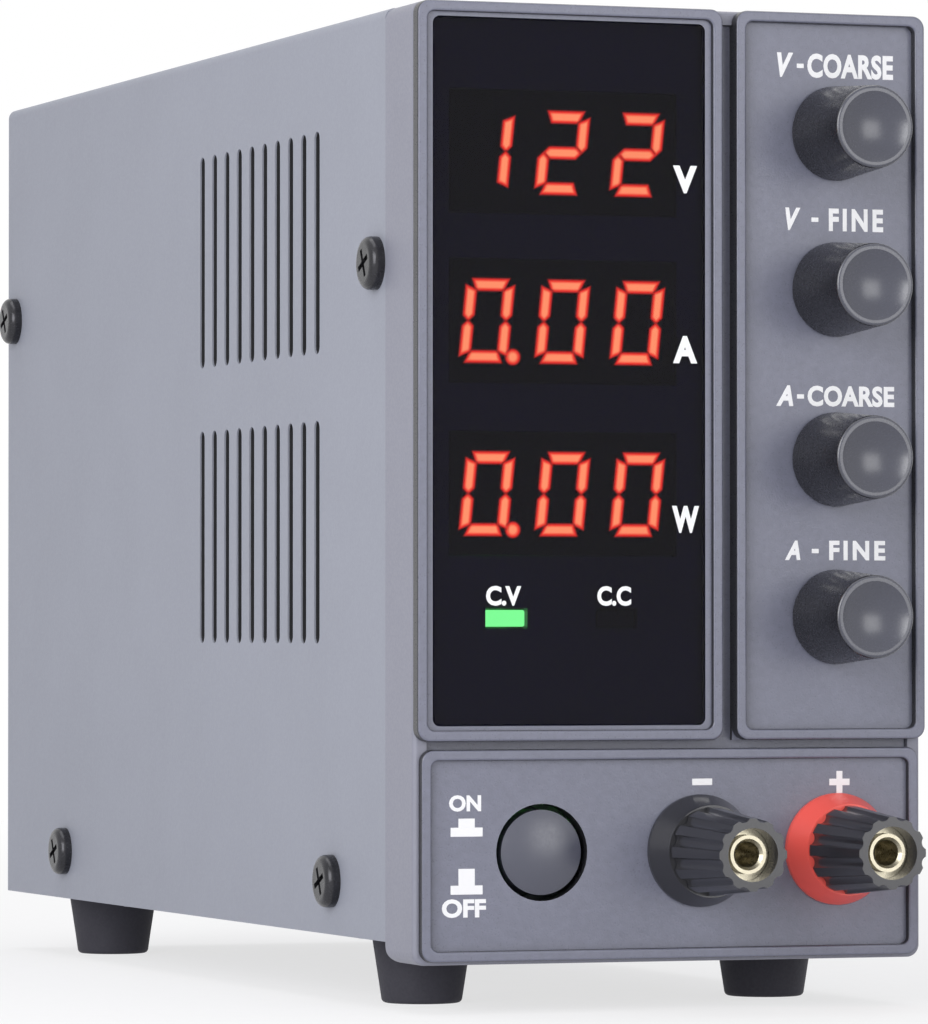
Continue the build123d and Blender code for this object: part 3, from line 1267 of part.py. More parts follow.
def selector_body():
    """Voltage selector switch: flange, body and slider slot."""
    z = up(SELECTOR_UP)
    face = REAR_Y + SELECTOR_FLANGE
    flange = (around(SELECTOR_X, SELECTOR_WIDTH), around(z, SELECTOR_HEIGHT))
    body = slab(*flange, SELECTOR_CORNER, (REAR_Y, face))
    body += block(
        around(SELECTOR_X, SELECTOR_BODY_WIDTH),
        (REAR_Y - SELECTOR_BODY_DEPTH, REAR_Y + SELECTOR_ROOT),
        around(z, SELECTOR_BODY_HEIGHT),
    )
    slot_z = around(z, SLIDER_HEIGHT + SLIDER_TRAVEL + 2 * SLIDER_FIT)
    depth = (REAR_Y - SELECTOR_BODY_DEPTH / 2, face + 1)
    return body - block(around(SELECTOR_X, SLIDER_WIDTH + 2 * SLIDER_FIT), depth, slot_z)


def selector_slider():
    """Slider of the voltage selector, at the top of its travel."""
    z = up(SELECTOR_UP) + SLIDER_TRAVEL / 2
    y = (REAR_Y - SELECTOR_BODY_DEPTH / 2 + SLIDER_FIT, REAR_Y + SELECTOR_FLANGE / 2)
    slider = block(around(SELECTOR_X, SLIDER_WIDTH), y, around(z, SLIDER_HEIGHT))
    groove_y = (y[1] - SLIDER_GROOVE_DEPTH, y[1] + 1)
    return slider - block(around(SELECTOR_X, SLIDER_WIDTH + 2), groove_y, around(z, SLIDER_GROOVE))


def bend_radii(points):
    """Largest sensible arc at each corner of a route."""
    places = [Vector(*point) for point in points]
    radii = []
    for before, corner, after in zip(places, places[1:], places[2:]):
        turn = radians((corner - before).get_angle(after - corner))
        run = min((corner - before).length, (after - corner).length)
        radii.append(min(LARGEST_BEND, BEND_SHARE * run / tan(turn / 2)))
    return radii


def lead(name, points, radius=LEAD_RADIUS):
    """Insulated lead along a route with rounded corners."""
    radii = bend_radii(points)
    path = FilletPolyline(*points, radius=radii)
    section = Plane(origin=path @ 0, z_dir=path % 0) * Circle(radius)
    tube = sweep(section, path=path)
    share = tube.volume / (pi * radius**2 * path.length)
    print(f"{name}: length {path.length:.1f}, smallest bend {min(radii):.1f}, volume share {share:.4f}")
    return tube


def mains_leads():
    """Leads of the mains side: inlet to switch, switch to board, inlet to board, and earth."""
    live, earth, neutral = inlet_pin_places()
    back = INLET_BACK - PIN_TAIL
    tag_y = SWITCH_BACK + SWITCH_TAG
    _, live_tag, switched_tag, _ = switch_tag_places()
    seat_x = MAINS_TERMINAL[0] - TERMINAL_DEPTH / 2
    seat_z = BOARD_TOP + TERMINAL_RISE
    near, far = around(MAINS_TERMINAL[1], TERMINAL_PITCH)
    earth_x, earth_y = rear_panel_screws()[0]
    earth_y -= TAG_SEAT
    earth_z = FLOOR_TOP + SHEET + TAG_THICKNESS
    live_route = (
        (live[0], back, live[1]), (live[0], back - 6, live[1]), (CHANNEL_X, 186, 36), (CHANNEL_X, 150, 35),
        (CHANNEL_X, 105, 33), (CHANNEL_X, 68, 30), (live_tag[0], 57, live_tag[1]),
        (live_tag[0], tag_y, live_tag[1]),
    )
    switched_route = (
        (switched_tag[0], tag_y, switched_tag[1]), (switched_tag[0], 58, switched_tag[1]), (-29, 69, 23.5),
        (CHANNEL_X, 82, 21.5), (CHANNEL_X, 130, 20.5), (CHANNEL_X, 162, 22), (CHANNEL_X, near, seat_z),
        (seat_x, near, seat_z),
    )
    neutral_route = (
        (neutral[0], back, neutral[1]), (neutral[0], back - 5, neutral[1]), (-14, 194, 28),
        (-25, 192.5, 27), (CHANNEL_X, 190.5, 26), (CHANNEL_X, far, seat_z), (seat_x, far, seat_z),
    )
    earth_route = (
        (earth[0], back, earth[1]), (earth[0], back - 4.5, earth[1]), (-13, 200, 27), (-19, 207.5, 22),
        (earth_x, earth_y, 19.5), (earth_x, earth_y, earth_z),
    )
    return [
        lead("live", live_route), lead("switched", switched_route), lead("neutral", neutral_route),
        lead("earth", earth_route),
    ]


def low_voltage_leads():
    """Leads of the output side: the board to the two posts, and the fan to the board."""
    seat_z = BOARD_TOP + TERMINAL_RISE
    seat_y = OUTPUT_TERMINAL[1] - TERMINAL_DEPTH / 2
    tag_y = TAG_FRONT + TAG_THICKNESS
    tag_z = up(POST_UP) - TAG_SEAT
    made = []
    for (name, x), seat_x in zip(POST_X, around(OUTPUT_TERMINAL[0], TERMINAL_PITCH)):
        route = ((seat_x, seat_y, seat_z), (seat_x, seat_y - 9, seat_z), (x, 25, tag_z), (x, tag_y, tag_z))
        made.append(lead(name, route))
    fan_z = up(FAN_UP) - FAN_SIZE / 2
    fan_route = (
        (22, 215.3, fan_z), (22, 215.3, 80), (30, 205, 60), (33, 190, 34), (33, 183, 27), (33, 183, BOARD_TOP)
    )
    return made + [lead("fan", fan_route, FAN_LEAD_RADIUS)]


def ribbon_cable():
    """Flat ribbon from the display board through the chassis plate down to the main board."""
    x, y = HEADER_PLACE
    height = up(RIBBON_UP)
    points = (
        (x, DISPLAY_BOARD_Y + BOARD, height), (x, PLATE_BACK + FLANGE, height),
        (x, y, height - RIBBON_DROP), (x, y, BOARD_TOP + HEADER_HEIGHT),
    )
    path = FilletPolyline(*points, radius=RIBBON_BEND)
    plane = Plane(origin=path @ 0, x_dir=(1, 0, 0), z_dir=path % 0)
    return sweep(plane * Rectangle(RIBBON_WIDTH, RIBBON_THICKNESS), path=path)


def hexagon_nuts():
    """Nuts of the potentiometers, posts and floor."""
    made = [pot_nut(height) for _, height in KNOBS]
    for _, x in POST_X:
        made += post_nuts(x)
    return made + floor_nuts()


def pieces():
    """Every sub-part by node name; a list is a group of separate solids."""
    made = {
        "top_cover": top_cover(),
        "base_chassis": base_chassis(),
        "rear_panel": rear_panel(),
        "front_surround": front_surround(),
        "front_panel": front_panel(),
        "display_window": display_window(),
        "display_board": display_board(),
        "control_board": control_board(),
        "digit_modules": [digit_module(height) for height in DIGITS_UP],
        "indicators": [indicator(x) for x in LED_X],
        "potentiometers": [potentiometer(height) for _, height in KNOBS],
        "power_button": power_button(),
        "switch_plunger": switch_plunger(),
        "power_switch": power_switch(),
        "switch_bracket": switch_bracket(),
        "post_studs": [post_stud(x) for _, x in POST_X],
        "post_bushes": [post_bush(x) for _, x in POST_X],
        "hexagon_nuts": hexagon_nuts(),
        "solder_tags": [post_tag(x) for _, x in POST_X] + [earth_tag()],
        "feet": [foot(x, y) for x, y in foot_places()],
        "cover_screws": side_screws(),
        "chassis_screws": foot_screws() + bracket_screws() + front_screws(),
        "board_screws": board_screws() + display_board_screws(),
        "standoffs": [standoff(x, y) for x, y in standoff_places()],
        "main_board": main_board(),
        "bulk_capacitors": [capacitor(BULK_RADIUS, BULK_HEIGHT, x, y) for x, y in BULK_PLACES],
        "output_capacitors": [capacitor(OUTPUT_RADIUS, OUTPUT_HEIGHT, x, y) for x, y in OUTPUT_PLACES],
        "transformer_core": transformer_core(),
        "transformer_coil": transformer_coil(),
        "heatsinks": [
            heatsink(PRIMARY_SINK_X, PRIMARY_SINK_Y, 1), heatsink(SECONDARY_SINK_X, SECONDARY_SINK_Y, -1)
        ],
        "power_devices": [
            power_device(PRIMARY_SINK_X, PRIMARY_SINK_Y, 1),
            power_device(SECONDARY_SINK_X, SECONDARY_SINK_Y, -1),
        ],
        "output_choke": output_choke(),
        "board_components": [
            boxed(FILTER_PLACE, FILTER_WIDTH, FILTER_DEPTH, FILTER_HEIGHT),
            boxed(XCAP_PLACE, XCAP_WIDTH, XCAP_DEPTH, XCAP_HEIGHT),
            boxed(BRIDGE_PLACE, BRIDGE_WIDTH, BRIDGE_DEPTH, BRIDGE_HEIGHT),
            boxed(HEADER_PLACE, HEADER_WIDTH, HEADER_DEPTH, HEADER_HEIGHT),
            terminal_block(OUTPUT_TERMINAL, True),
            terminal_block(MAINS_TERMINAL, False),
        ],
        "fan_frame": fan_frame(),
        "fan_rotor": fan_rotor(),
        "fan_guard": fan_guard(),
        "rear_screws": rear_screws(),
        "mains_inlet": mains_inlet(),
        "inlet_pins": inlet_pins(),
        "fuse_drawer": fuse_drawer(),
        "fuse": fuse(),
        "selector_body": selector_body(),
        "selector_slider": selector_slider(),
        "mains_leads": mains_leads(),
        "low_voltage_leads": low_voltage_leads(),
        "ribbon_cable": ribbon_cable(),
    }
    for name, height in KNOBS:
        made[f"knob_{name}"] = knob(height)
        made[f"shaft_{name}"] = shaft(height)
    for name, x in POST_X:
        made[f"post_collar_{name}"] = post_collar(x)
        made[f"post_cap_{name}"] = post_cap(x)
        made[f"post_insert_{name}"] = post_insert(x)
    return made


def write(name, shape):
    """Write one sub-part about the footprint's middle."""
    solids = shape if isinstance(shape, list) else [shape]
    placed = [Pos(0, -MIDDLE_Y, 0) * solid for solid in solids]
    export_step(placed[0] if len(placed) == 1 else Compound(children=placed), f"parts/{name}.step")


os.makedirs("parts", exist_ok=True)
for node, piece in pieces().items():
    write(node, piece)
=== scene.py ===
"""Studio scene of an upright bench power supply: its finishes, lit display, printed words and lamps.

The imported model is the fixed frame, and the pieces made here sit on it. Their sizes are millimetres.
The finishes and the studio are in metres, apart from the lens and its sensor. Heights named up are
measured from the bottom edge of the front surround, and depths from the plane of the front panel's
upper lips, positive towards the back.
"""

import json
import logging
import math
from collections.abc import Iterable, Sequence
from dataclasses import dataclass, field
from enum import Enum

import bmesh
import bpy
from mathutils import Matrix, Vector


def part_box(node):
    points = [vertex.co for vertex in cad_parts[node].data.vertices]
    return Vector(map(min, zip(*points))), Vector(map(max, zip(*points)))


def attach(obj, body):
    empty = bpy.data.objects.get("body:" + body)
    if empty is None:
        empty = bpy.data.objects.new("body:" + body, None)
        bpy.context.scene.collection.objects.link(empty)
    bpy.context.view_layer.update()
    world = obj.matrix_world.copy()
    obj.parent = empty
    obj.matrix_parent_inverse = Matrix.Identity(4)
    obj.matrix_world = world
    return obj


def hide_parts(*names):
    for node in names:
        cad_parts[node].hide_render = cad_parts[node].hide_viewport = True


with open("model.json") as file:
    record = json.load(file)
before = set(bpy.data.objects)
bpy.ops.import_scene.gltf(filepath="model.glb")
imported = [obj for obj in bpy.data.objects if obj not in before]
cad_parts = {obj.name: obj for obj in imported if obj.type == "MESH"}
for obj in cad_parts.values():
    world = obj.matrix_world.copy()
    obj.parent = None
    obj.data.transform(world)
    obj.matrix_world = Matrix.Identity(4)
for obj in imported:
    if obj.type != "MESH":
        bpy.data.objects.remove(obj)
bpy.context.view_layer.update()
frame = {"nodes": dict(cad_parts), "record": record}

MM = 0.001
GLOW = "glow"
RIM_GLOW = 0.5
SHARPEST_CORNER = 0.3
SMOOTHEST = 0.02
MIX_FIRST, MIX_SECOND, MIX_RESULT = 6, 7, 2
LOG = logging.getLogger("bench_supply")

Colour = tuple[float, float, float]
Point = tuple[float, float]
Relief = tuple[bpy.types.NodeSocket, float]


def shade(red: int, green: int, blue: int) -> Colour:
    """Linear colour of a display colour.

    Args:
        red: Red, up to 255.
        green: Green, up to 255.
        blue: Blue, up to 255.

    Returns:
        The linear colour.
    """
    return tuple(
        value / 12.92 if value <= 0.04045 else ((value + 0.055) / 1.055) ** 2.4
        for value in (red / 255, green / 255, blue / 255)
    )


class Body(Enum):
    """Bodies that the pieces made here ride on."""

    CASE = "case"


class Slot(Enum):
    """Record slots of the frame's solids that the pieces made here sit on or stand in for."""

    WINDOW = "smoked_window"
    DISPLAY = "display_black"
    INDICATOR = "indicator"
    PANEL = "panel_grey"


class ShaderBench:
    """Node tree of one material, with the few moves that the finishes share."""

    def __init__(self, name: str) -> None:
        """Start a material with a principled shader and object coordinates.

        Args:
            name: The material's name.
        """
        self.material = bpy.data.materials.new(name)
        self.material.use_nodes = True
        self.tree = self.material.node_tree
        self.shader = self.tree.nodes["Principled BSDF"]
        self.output = self.tree.nodes["Material Output"]
        self.place = self.tree.nodes.new("ShaderNodeTexCoord")

    def node(self, kind: str, **settings: object) -> bpy.types.Node:
        """Add a node and set its properties.

        Args:
            kind: The node's Blender type.
            **settings: Properties of the node by name.

        Returns:
            The new node.
        """
        made = self.tree.nodes.new(kind)
        for key, value in settings.items():
            setattr(made, key, value)
        return made

    def link(self, start: bpy.types.NodeSocket, end: bpy.types.NodeSocket) -> None:
        """Join two sockets.

        Args:
            start: The output.
            end: The input.
        """
        self.tree.links.new(start, end)

    def noise(self, scale: float, detail: float = 3.0,
              stretch: Colour = (1.0, 1.0, 1.0)) -> bpy.types.NodeSocket:
        """Noise in the object's own space.

        Args:
            scale: Features per metre.
            detail: Octaves of finer noise.
            stretch: Scale along each axis, for brushed or drawn surfaces.

        Returns:
            The noise's value socket.
        """
        mapping = self.node("ShaderNodeMapping")
        mapping.inputs["Scale"].default_value = stretch
        self.link(self.place.outputs["Object"], mapping.inputs["Vector"])
        noise = self.node("ShaderNodeTexNoise")
        noise.inputs["Scale"].default_value = scale
        noise.inputs["Detail"].default_value = detail
        self.link(mapping.outputs["Vector"], noise.inputs["Vector"])
        return noise.outputs["Fac"]

    def spread(self, value: bpy.types.NodeSocket, low: float, high: float, start: float = 0.3,
               end: float = 0.7) -> bpy.types.NodeSocket:
        """Value carried from one range to another and held at its ends.

        Args:
            value: The socket to carry over.
            low: Result at the start of the range.
            high: Result at the end of the range.
            start: Start of the value's range.
            end: End of the value's range.

        Returns:
            The result's socket.
        """
        node = self.node("ShaderNodeMapRange")
        for name, number in (("From Min", start), ("From Max", end), ("To Min", low), ("To Max", high)):
            node.inputs[name].default_value = number
        self.link(value, node.inputs["Value"])
        return node.outputs["Result"]

    def blend(self, share: bpy.types.NodeSocket, first: Colour, second: Colour) -> bpy.types.NodeSocket:
        """Colour between two others.

        Args:
            share: Socket that holds how much of the second colour shows.
            first: Colour at a share of nought.
            second: Colour at a share of one.

        Returns:
            The mixed colour's socket.
        """
        mix = self.node("ShaderNodeMix", data_type="RGBA")
        mix.inputs[MIX_FIRST].default_value = (*first, 1.0)
        mix.inputs[MIX_SECOND].default_value = (*second, 1.0)
        self.link(share, mix.inputs[0])
        return mix.outputs[MIX_RESULT]

    def repaint(self, share: bpy.types.NodeSocket, colour: Colour) -> None:
        """Let another colour show through the shader's base colour.

        Args:
            share: Socket that holds how much of the other colour shows.
            colour: The other colour.
        """
        base = self.shader.inputs["Base Color"]
        mix = self.node("ShaderNodeMix", data_type="RGBA")
        self.link(base.links[0].from_socket, mix.inputs[MIX_FIRST])
        mix.inputs[MIX_SECOND].default_value = (*colour, 1.0)
        self.link(share, mix.inputs[0])
        self.link(mix.outputs[MIX_RESULT], base)

    def relief(self, heights: Iterable[Relief]) -> None:
        """Chain bumps into the shader's normal.

        Args:
            heights: Height sockets, each with its real depth in metres.
        """
        below = None
        for socket, depth in heights:
            bump = self.node("ShaderNodeBump")
            bump.inputs["Distance"].default_value = depth
            self.link(socket, bump.inputs["Height"])
            if below is not None:
                self.link(below, bump.inputs["Normal"])
            below = bump.outputs["Normal"]
        if below is not None:
            self.link(below, self.shader.inputs["Normal"])


@dataclass(frozen=True)
class Finish:
    """Surface with slightly uneven colour and gloss over a fine relief."""

    name: str
    colour: Colour
    roughness: float = 0.5
    metallic: float = 0.0
    uneven: float = 0.05
    cloud: float = 45.0
    grain: float = 2200.0
    depth: float = 0.00001
    stretch: Colour = (1.0, 1.0, 1.0)
    rough_swing: float = 0.06
    specular: float = 0.5

    def bench(self) -> ShaderBench:
        """Node tree with the finish's colour, gloss and relief."""
        bench = ShaderBench(self.name)
        cloud = bench.noise(self.cloud, 4.0, self.stretch)
        darker = tuple(value * (1 - self.uneven) for value in self.colour)
        lighter = tuple(min(1.0, value * (1 + self.uneven)) for value in self.colour)
        colour = bench.blend(bench.spread(cloud, 0.0, 1.0), darker, lighter)
        bench.link(colour, bench.shader.inputs["Base Color"])
        fine = bench.noise(self.grain, 2.0, self.stretch)
        low = max(SMOOTHEST, self.roughness - self.rough_swing)
        gloss = bench.spread(fine, low, min(1.0, self.roughness + self.rough_swing))
        bench.link(gloss, bench.shader.inputs["Roughness"])
        bench.shader.inputs["Metallic"].default_value = self.metallic
        bench.shader.inputs["Specular IOR Level"].default_value = self.specular
        bench.relief(self.heights(bench, fine))
        return bench

    def heights(self, bench: ShaderBench, fine: bpy.types.NodeSocket) -> list[Relief]:
        """Height sockets of the relief with their depths.

        Args:
            bench: The node tree to add to; not used here.
            fine: The fine grain's socket.

        Returns:
            The sockets and depths, coarsest first.
        """
        return [(fine, self.depth)]

    def material(self) -> bpy.types.Material:
        """The finish as a material."""
        return self.bench().material


@dataclass(frozen=True)
class PowderCoat(Finish):
    """Sprayed and baked paint with the soft waves of an orange peel under a fine grain."""

    peel: float = 420.0
    peel_depth: float = 0.000035

    def heights(self, bench: ShaderBench, fine: bpy.types.NodeSocket) -> list[Relief]:
        """Height sockets of the paint's waves and of the fine grain on them.

        Args:
            bench: The node tree to add to.
            fine: The fine grain's socket.

        Returns:
            The sockets and depths, coarsest first.
        """
        return [(bench.noise(self.peel, 2.0), self.peel_depth), (fine, self.depth)]


@dataclass(frozen=True)
class InsideShadedCoat(PowderCoat):
    """Powder coat on the outside of a folded cover; its inside faces carry painted shade in a near-black
    colour.
    """

    inner_x: float = 0.0426
    inner_z: float = 0.154
    # painted shade: the near-black colour given to the cover's inside faces
    inside_shade: Colour = (0.02, 0.02, 0.023)

    def bench(self) -> ShaderBench:
        """Node tree that lays painted shade inside the cover's walls and under its top."""
        bench = super().bench()
        parts = bench.node("ShaderNodeSeparateXYZ")
        bench.link(bench.place.outputs["Object"], parts.inputs["Vector"])
        across = bench.node("ShaderNodeMath", operation="ABSOLUTE")
        bench.link(parts.outputs["X"], across.inputs[0])
        within = bench.node("ShaderNodeMath", operation="LESS_THAN")
        within.inputs[1].default_value = self.inner_x
        bench.link(across.outputs[0], within.inputs[0])
        under = bench.node("ShaderNodeMath", operation="LESS_THAN")
        under.inputs[1].default_value = self.inner_z
        bench.link(parts.outputs["Z"], under.inputs[0])
        inside = bench.node("ShaderNodeMath", operation="MULTIPLY")
        bench.link(within.outputs[0], inside.inputs[0])
        bench.link(under.outputs[0], inside.inputs[1])
        # painted shade on the cover's inside faces
        bench.repaint(inside.outputs[0], self.inside_shade)
        return bench


@dataclass(frozen=True)
class FacingLightMoulding(Finish):
    """Textured moulding coloured by which way its surface faces, as painted light: darker on walls that turn
    away from the front, lighter on faces that look forward.
    """

    # wall: colour of surfaces turned away from the front; on the panel it is painted shade
    wall: Colour = (0.02, 0.02, 0.024)
    turn: tuple[float, float] = (-0.35, -0.85)

    def bench(self) -> ShaderBench:
        """Node tree that darkens the moulding where its surface turns away from the front, as painted light.
        """
        bench = super().bench()
        parts = bench.node("ShaderNodeSeparateXYZ")
        bench.link(bench.place.outputs["Normal"], parts.inputs["Vector"])
        aside = bench.spread(parts.outputs["Y"], 1.0, 0.0, *self.turn)
        # painted light: surfaces turned away from the front take the wall colour
        bench.repaint(aside, self.wall)
        return bench


@dataclass(frozen=True)
class SmokedGlass(Finish):
    """Tinted clear sheet, polished on both faces."""

    index: float = 1.13

    def bench(self) -> ShaderBench:
        """Node tree of the tinted sheet."""
        bench = super().bench()
        bench.shader.inputs["Transmission Weight"].default_value = 1.0
        bench.shader.inputs["IOR"].default_value = self.index
        return bench


@dataclass(frozen=True)
class LitSegment:
    """Glowing segment, brightest along its middle and redder towards its rim."""

    name: str
    core: Colour
    rim: Colour
    outside: Colour
    strength: float
    body: Colour = (0.01, 0.004, 0.004)
    core_start: float = 0.95
    flicker: float = 900.0
    gloss: tuple[float, float] = (0.35, 0.5)

    def material(self) -> bpy.types.Material:
        """Emissive material that reads the glow painted on the segment's corners."""
        bench = ShaderBench(self.name)
        glow = bench.node("ShaderNodeAttribute", attribute_name=GLOW)
        flicker = bench.noise(self.flicker, 2.0)
        ramp = bench.node("ShaderNodeValToRGB")
        ends = ramp.color_ramp.elements
        ends[0].color = (*self.outside, 1.0)
        ends[1].color = (*self.core, 1.0)
        ends[1].position = self.core_start
        middle = ends.new(RIM_GLOW)
        middle.color = (*self.rim, 1.0)
        bench.link(glow.outputs["Fac"], ramp.inputs["Fac"])
        bench.link(ramp.outputs["Color"], bench.shader.inputs["Emission Color"])
        bench.shader.inputs["Emission Strength"].default_value = self.strength
        bench.shader.inputs["Base Color"].default_value = (*self.body, 1.0)
        bench.link(bench.spread(flicker, *self.gloss), bench.shader.inputs["Roughness"])
        return bench.material


@dataclass(frozen=True)
class FrontDatum:
    """Where the front measurements start in the frame."""

    lip_y: float
    bottom_z: float

    @classmethod
    def from_frame(cls) -> "FrontDatum":
        """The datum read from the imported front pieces."""
        return cls(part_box("front_panel")[0].y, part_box("front_surround")[0].z)

    def at(self, x: float, up: float, depth: float) -> Vector:
        """Frame place of a front measurement.

        Args:
            x: Millimetres to the right of the middle.
            up: Millimetres above the surround's bottom edge.
            depth: Millimetres behind the lip plane.

        Returns:
            The place in metres.
        """
        return Vector((x * MM, self.lip_y + depth * MM, self.bottom_z + up * MM))


class Workshop:
    """Turns meshes and words into pieces that ride on their bodies."""

    shoulder_share = 0.3

    def __init__(self, datum: FrontDatum) -> None:
        """Keep the datum.

        Args:
            datum: Where the front measurements start.
        """
        self.datum = datum

    def mount(self, piece: bpy.types.Object, finish: bpy.types.Material,
              body: Body = Body.CASE) -> None:
        """Dress a piece and fix it to its body.

        Args:
            piece: The object, linked and in place.
            finish: Its material.
            body: The body that carries it.
        """
        piece.data.materials.append(finish)
        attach(piece, body.value)
        LOG.info("piece %s on %s", piece.name, body.value)

    def mesh_piece(self, name: str, mesh: bmesh.types.BMesh) -> bpy.types.Object:
        """Object of a finished mesh.

        Args:
            name: The piece's name.
            mesh: Its geometry, freed here.

        Returns:
            The linked object.
        """
        data = bpy.data.meshes.new(name)
        mesh.normal_update()
        mesh.to_mesh(data)
        mesh.free()
        piece = bpy.data.objects.new(name, data)
        bpy.context.scene.collection.objects.link(piece)
        return piece

    def rounded_plate(self, name: str, x: Point, up: Point, depth: Point, corner: float,
                      edge: float) -> bpy.types.Object:
        """Plate with rounded corners and softened front edges.

        Args:
            name: The piece's name.
            x: Left and right limits.
            up: Lower and upper limits.
            depth: Front and back planes.
            corner: Radius of its corners seen from the front.
            edge: Width of the softened edge.

        Returns:
            The linked object.
        """
        mesh = bmesh.new()
        rings = []
        front, back = depth
        shoulder = edge * self.shoulder_share
        profile = ((edge, front), (shoulder, front + shoulder), (0.0, front + edge), (0.0, back))
        for inset, plane in profile:
            outline = rounded_outline(x, up, corner, inset)
            rings.append([mesh.verts.new(self.datum.at(px, pz, plane)) for px, pz in outline])
        for before, after in zip(rings, rings[1:]):
            for index in range(len(before)):
                follow = (index + 1) % len(before)
                mesh.faces.new((before[index], after[index], after[follow], before[follow]))
        mesh.faces.new(rings[0])
        mesh.faces.new(list(reversed(rings[-1])))
        bmesh.ops.recalc_face_normals(mesh, faces=mesh.faces)
        piece = self.mesh_piece(name, mesh)
        for face in piece.data.polygons:
            face.use_smooth = len(face.vertices) == 4
        return piece


def rounded_outline(x: Point, up: Point, corner: float, inset: float, steps: int = 7) -> list[Point]:
    """Corner points of a rounded rectangle.

    Args:
        x: Left and right limits.
        up: Lower and upper limits.
        corner: Corner radius.
        inset: How far the outline is drawn in.
        steps: Points around each corner.

    Returns:
        The outline's points, anticlockwise seen from the front.
    """
    points = []
    centres = ((x[1] - corner, up[0] + corner), (x[1] - corner, up[1] - corner),
               (x[0] + corner, up[1] - corner), (x[0] + corner, up[0] + corner))
    for quarter, (middle_x, middle_z) in enumerate(centres):
        for step in range(steps):
            turn = math.radians(-90 + 90 * quarter + 90 * step / (steps - 1))
            reach = corner - inset
            points.append((middle_x + reach * math.cos(turn), middle_z + reach * math.sin(turn)))
    return points


@dataclass
class CadFinishes:
    """Finishes of the solids carried over from the frame, by record slot.

    Paint and bend are how far the cover's outer finish reaches in from its sides and its top; inside that,
    the cover carries painted shade.
    """

    paint: float = 0.0003
    bend: float = 0.003
    coats: dict[str, Finish] = field(default_factory=lambda: {
        "case_grey": PowderCoat("case_powder_coat", shade(146, 149, 161), 0.55, uneven=0.02, depth=0.000012),
        "surround_grey": Finish("surround_moulding", shade(132, 133, 146), 0.45, uneven=0.025,
                                depth=0.000008),
        # The panel's walls that turn away from the front are darker: painted shade in its grooves and on the
        # frames' sides.
        "panel_grey": FacingLightMoulding("panel_painted_wall_shade", shade(110, 112, 128), 0.32, uneven=0.06, cloud=900.0,
                                      grain=3000.0, depth=0.00002),
        "display_black": Finish("display_face", shade(14, 12, 13), 0.5),
        "board_green": Finish("solder_mask", (0.03, 0.16, 0.07), 0.35, uneven=0.25, cloud=300.0),
        # The knobs' dish faces are lighter than their near-black sides: a painted reflection.
        "knob_black": FacingLightMoulding("knob_painted_reflection", shade(56, 58, 72), 0.27, uneven=0.1, specular=0.9,
                                      depth=0.0, rough_swing=0.01, wall=(0.009, 0.009, 0.012)),
        "button_grey": Finish("button_satin", shade(66, 68, 83), 0.34, uneven=0.04, depth=0.000004,
                              specular=0.9),
        "post_red": Finish("red_gloss", shade(255, 98, 88), 0.3, uneven=0.04, depth=0.0, rough_swing=0.02),
        "post_black": Finish("post_gloss", (0.025, 0.025, 0.03), 0.2, uneven=0.1, specular=0.8, depth=0.0,
                             rough_swing=0.01),
        "brass": Finish("nickelled_brass", (0.52, 0.48, 0.37), 0.3, 1.0, 0.06, 400.0, 2600.0, 0.000001),
        "steel": Finish("bright_zinc", (0.62, 0.63, 0.66), 0.32, 1.0, 0.12, 500.0),
        "black_steel": Finish("black_passivate", (0.035, 0.035, 0.04), 0.24, 0.6, 0.2, 500.0),
        "aluminium": Finish("drawn_aluminium", (0.7, 0.71, 0.72), 0.38, 1.0, 0.06, 300.0,
                            stretch=(1.0, 1.0, 0.05)),
        "rubber": Finish("foot_rubber", shade(52, 51, 60), 0.75, uneven=0.12, depth=0.00002),
        "black_plastic": Finish("black_moulding", (0.03, 0.03, 0.033), 0.45, uneven=0.08),
        "ferrite": Finish("ferrite", (0.05, 0.05, 0.055), 0.65, uneven=0.2, depth=0.00002),
        "winding_tape": Finish("winding_tape", (0.75, 0.55, 0.08), 0.35, uneven=0.12, cloud=200.0),
        "copper": Finish("enamelled_copper", (0.72, 0.33, 0.16), 0.3, 1.0, 0.15, 900.0),
        "can_sleeve": Finish("can_sleeve", (0.03, 0.05, 0.12), 0.3, uneven=0.08),
        "component_grey": Finish("component_case", (0.16, 0.17, 0.18), 0.5, uneven=0.1),
        "mains_sheath": Finish("mains_sheath", (0.2, 0.08, 0.04), 0.35),
        "output_sheath": Finish("output_sheath", (0.55, 0.03, 0.03), 0.35),
        "ribbon_grey": Finish("ribbon_sheath", (0.45, 0.45, 0.46), 0.5),
        "fuse_glass": Finish("fuse_glass", (0.8, 0.85, 0.85), 0.08),
        "smoked_window": SmokedGlass("smoked_sheet", (0.2, 0.19, 0.24), 0.02, rough_swing=0.0, depth=0.0),
        "indicator": Finish("unlit_lens", (0.05, 0.12, 0.05), 0.3),
    })

    def dress(self) -> None:
        """Give every solid of the frame its slot's finish."""
        made = {slot: coat.material() for slot, coat in self.coats.items()}
        for part in frame["record"]["subparts"]:
            piece = frame["nodes"][part["node"]]
            piece.data.materials.clear()
            piece.data.materials.append(made[part["material_slot"]])
        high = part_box("top_cover")[1]
        cover = self.coats["case_grey"]
        # The cover's inside faces get painted shade.
        shaded_coat = InsideShadedCoat("cover_coat_painted_inside_shade", cover.colour, cover.roughness, uneven=cover.uneven,
                          depth=cover.depth, inner_x=high.x - self.paint, inner_z=high.z - self.bend)
        frame["nodes"]["top_cover"].data.materials[0] = shaded_coat.material()
        LOG.info("%d solids dressed in %d finishes", len(frame["nodes"]), len(made) + 1)


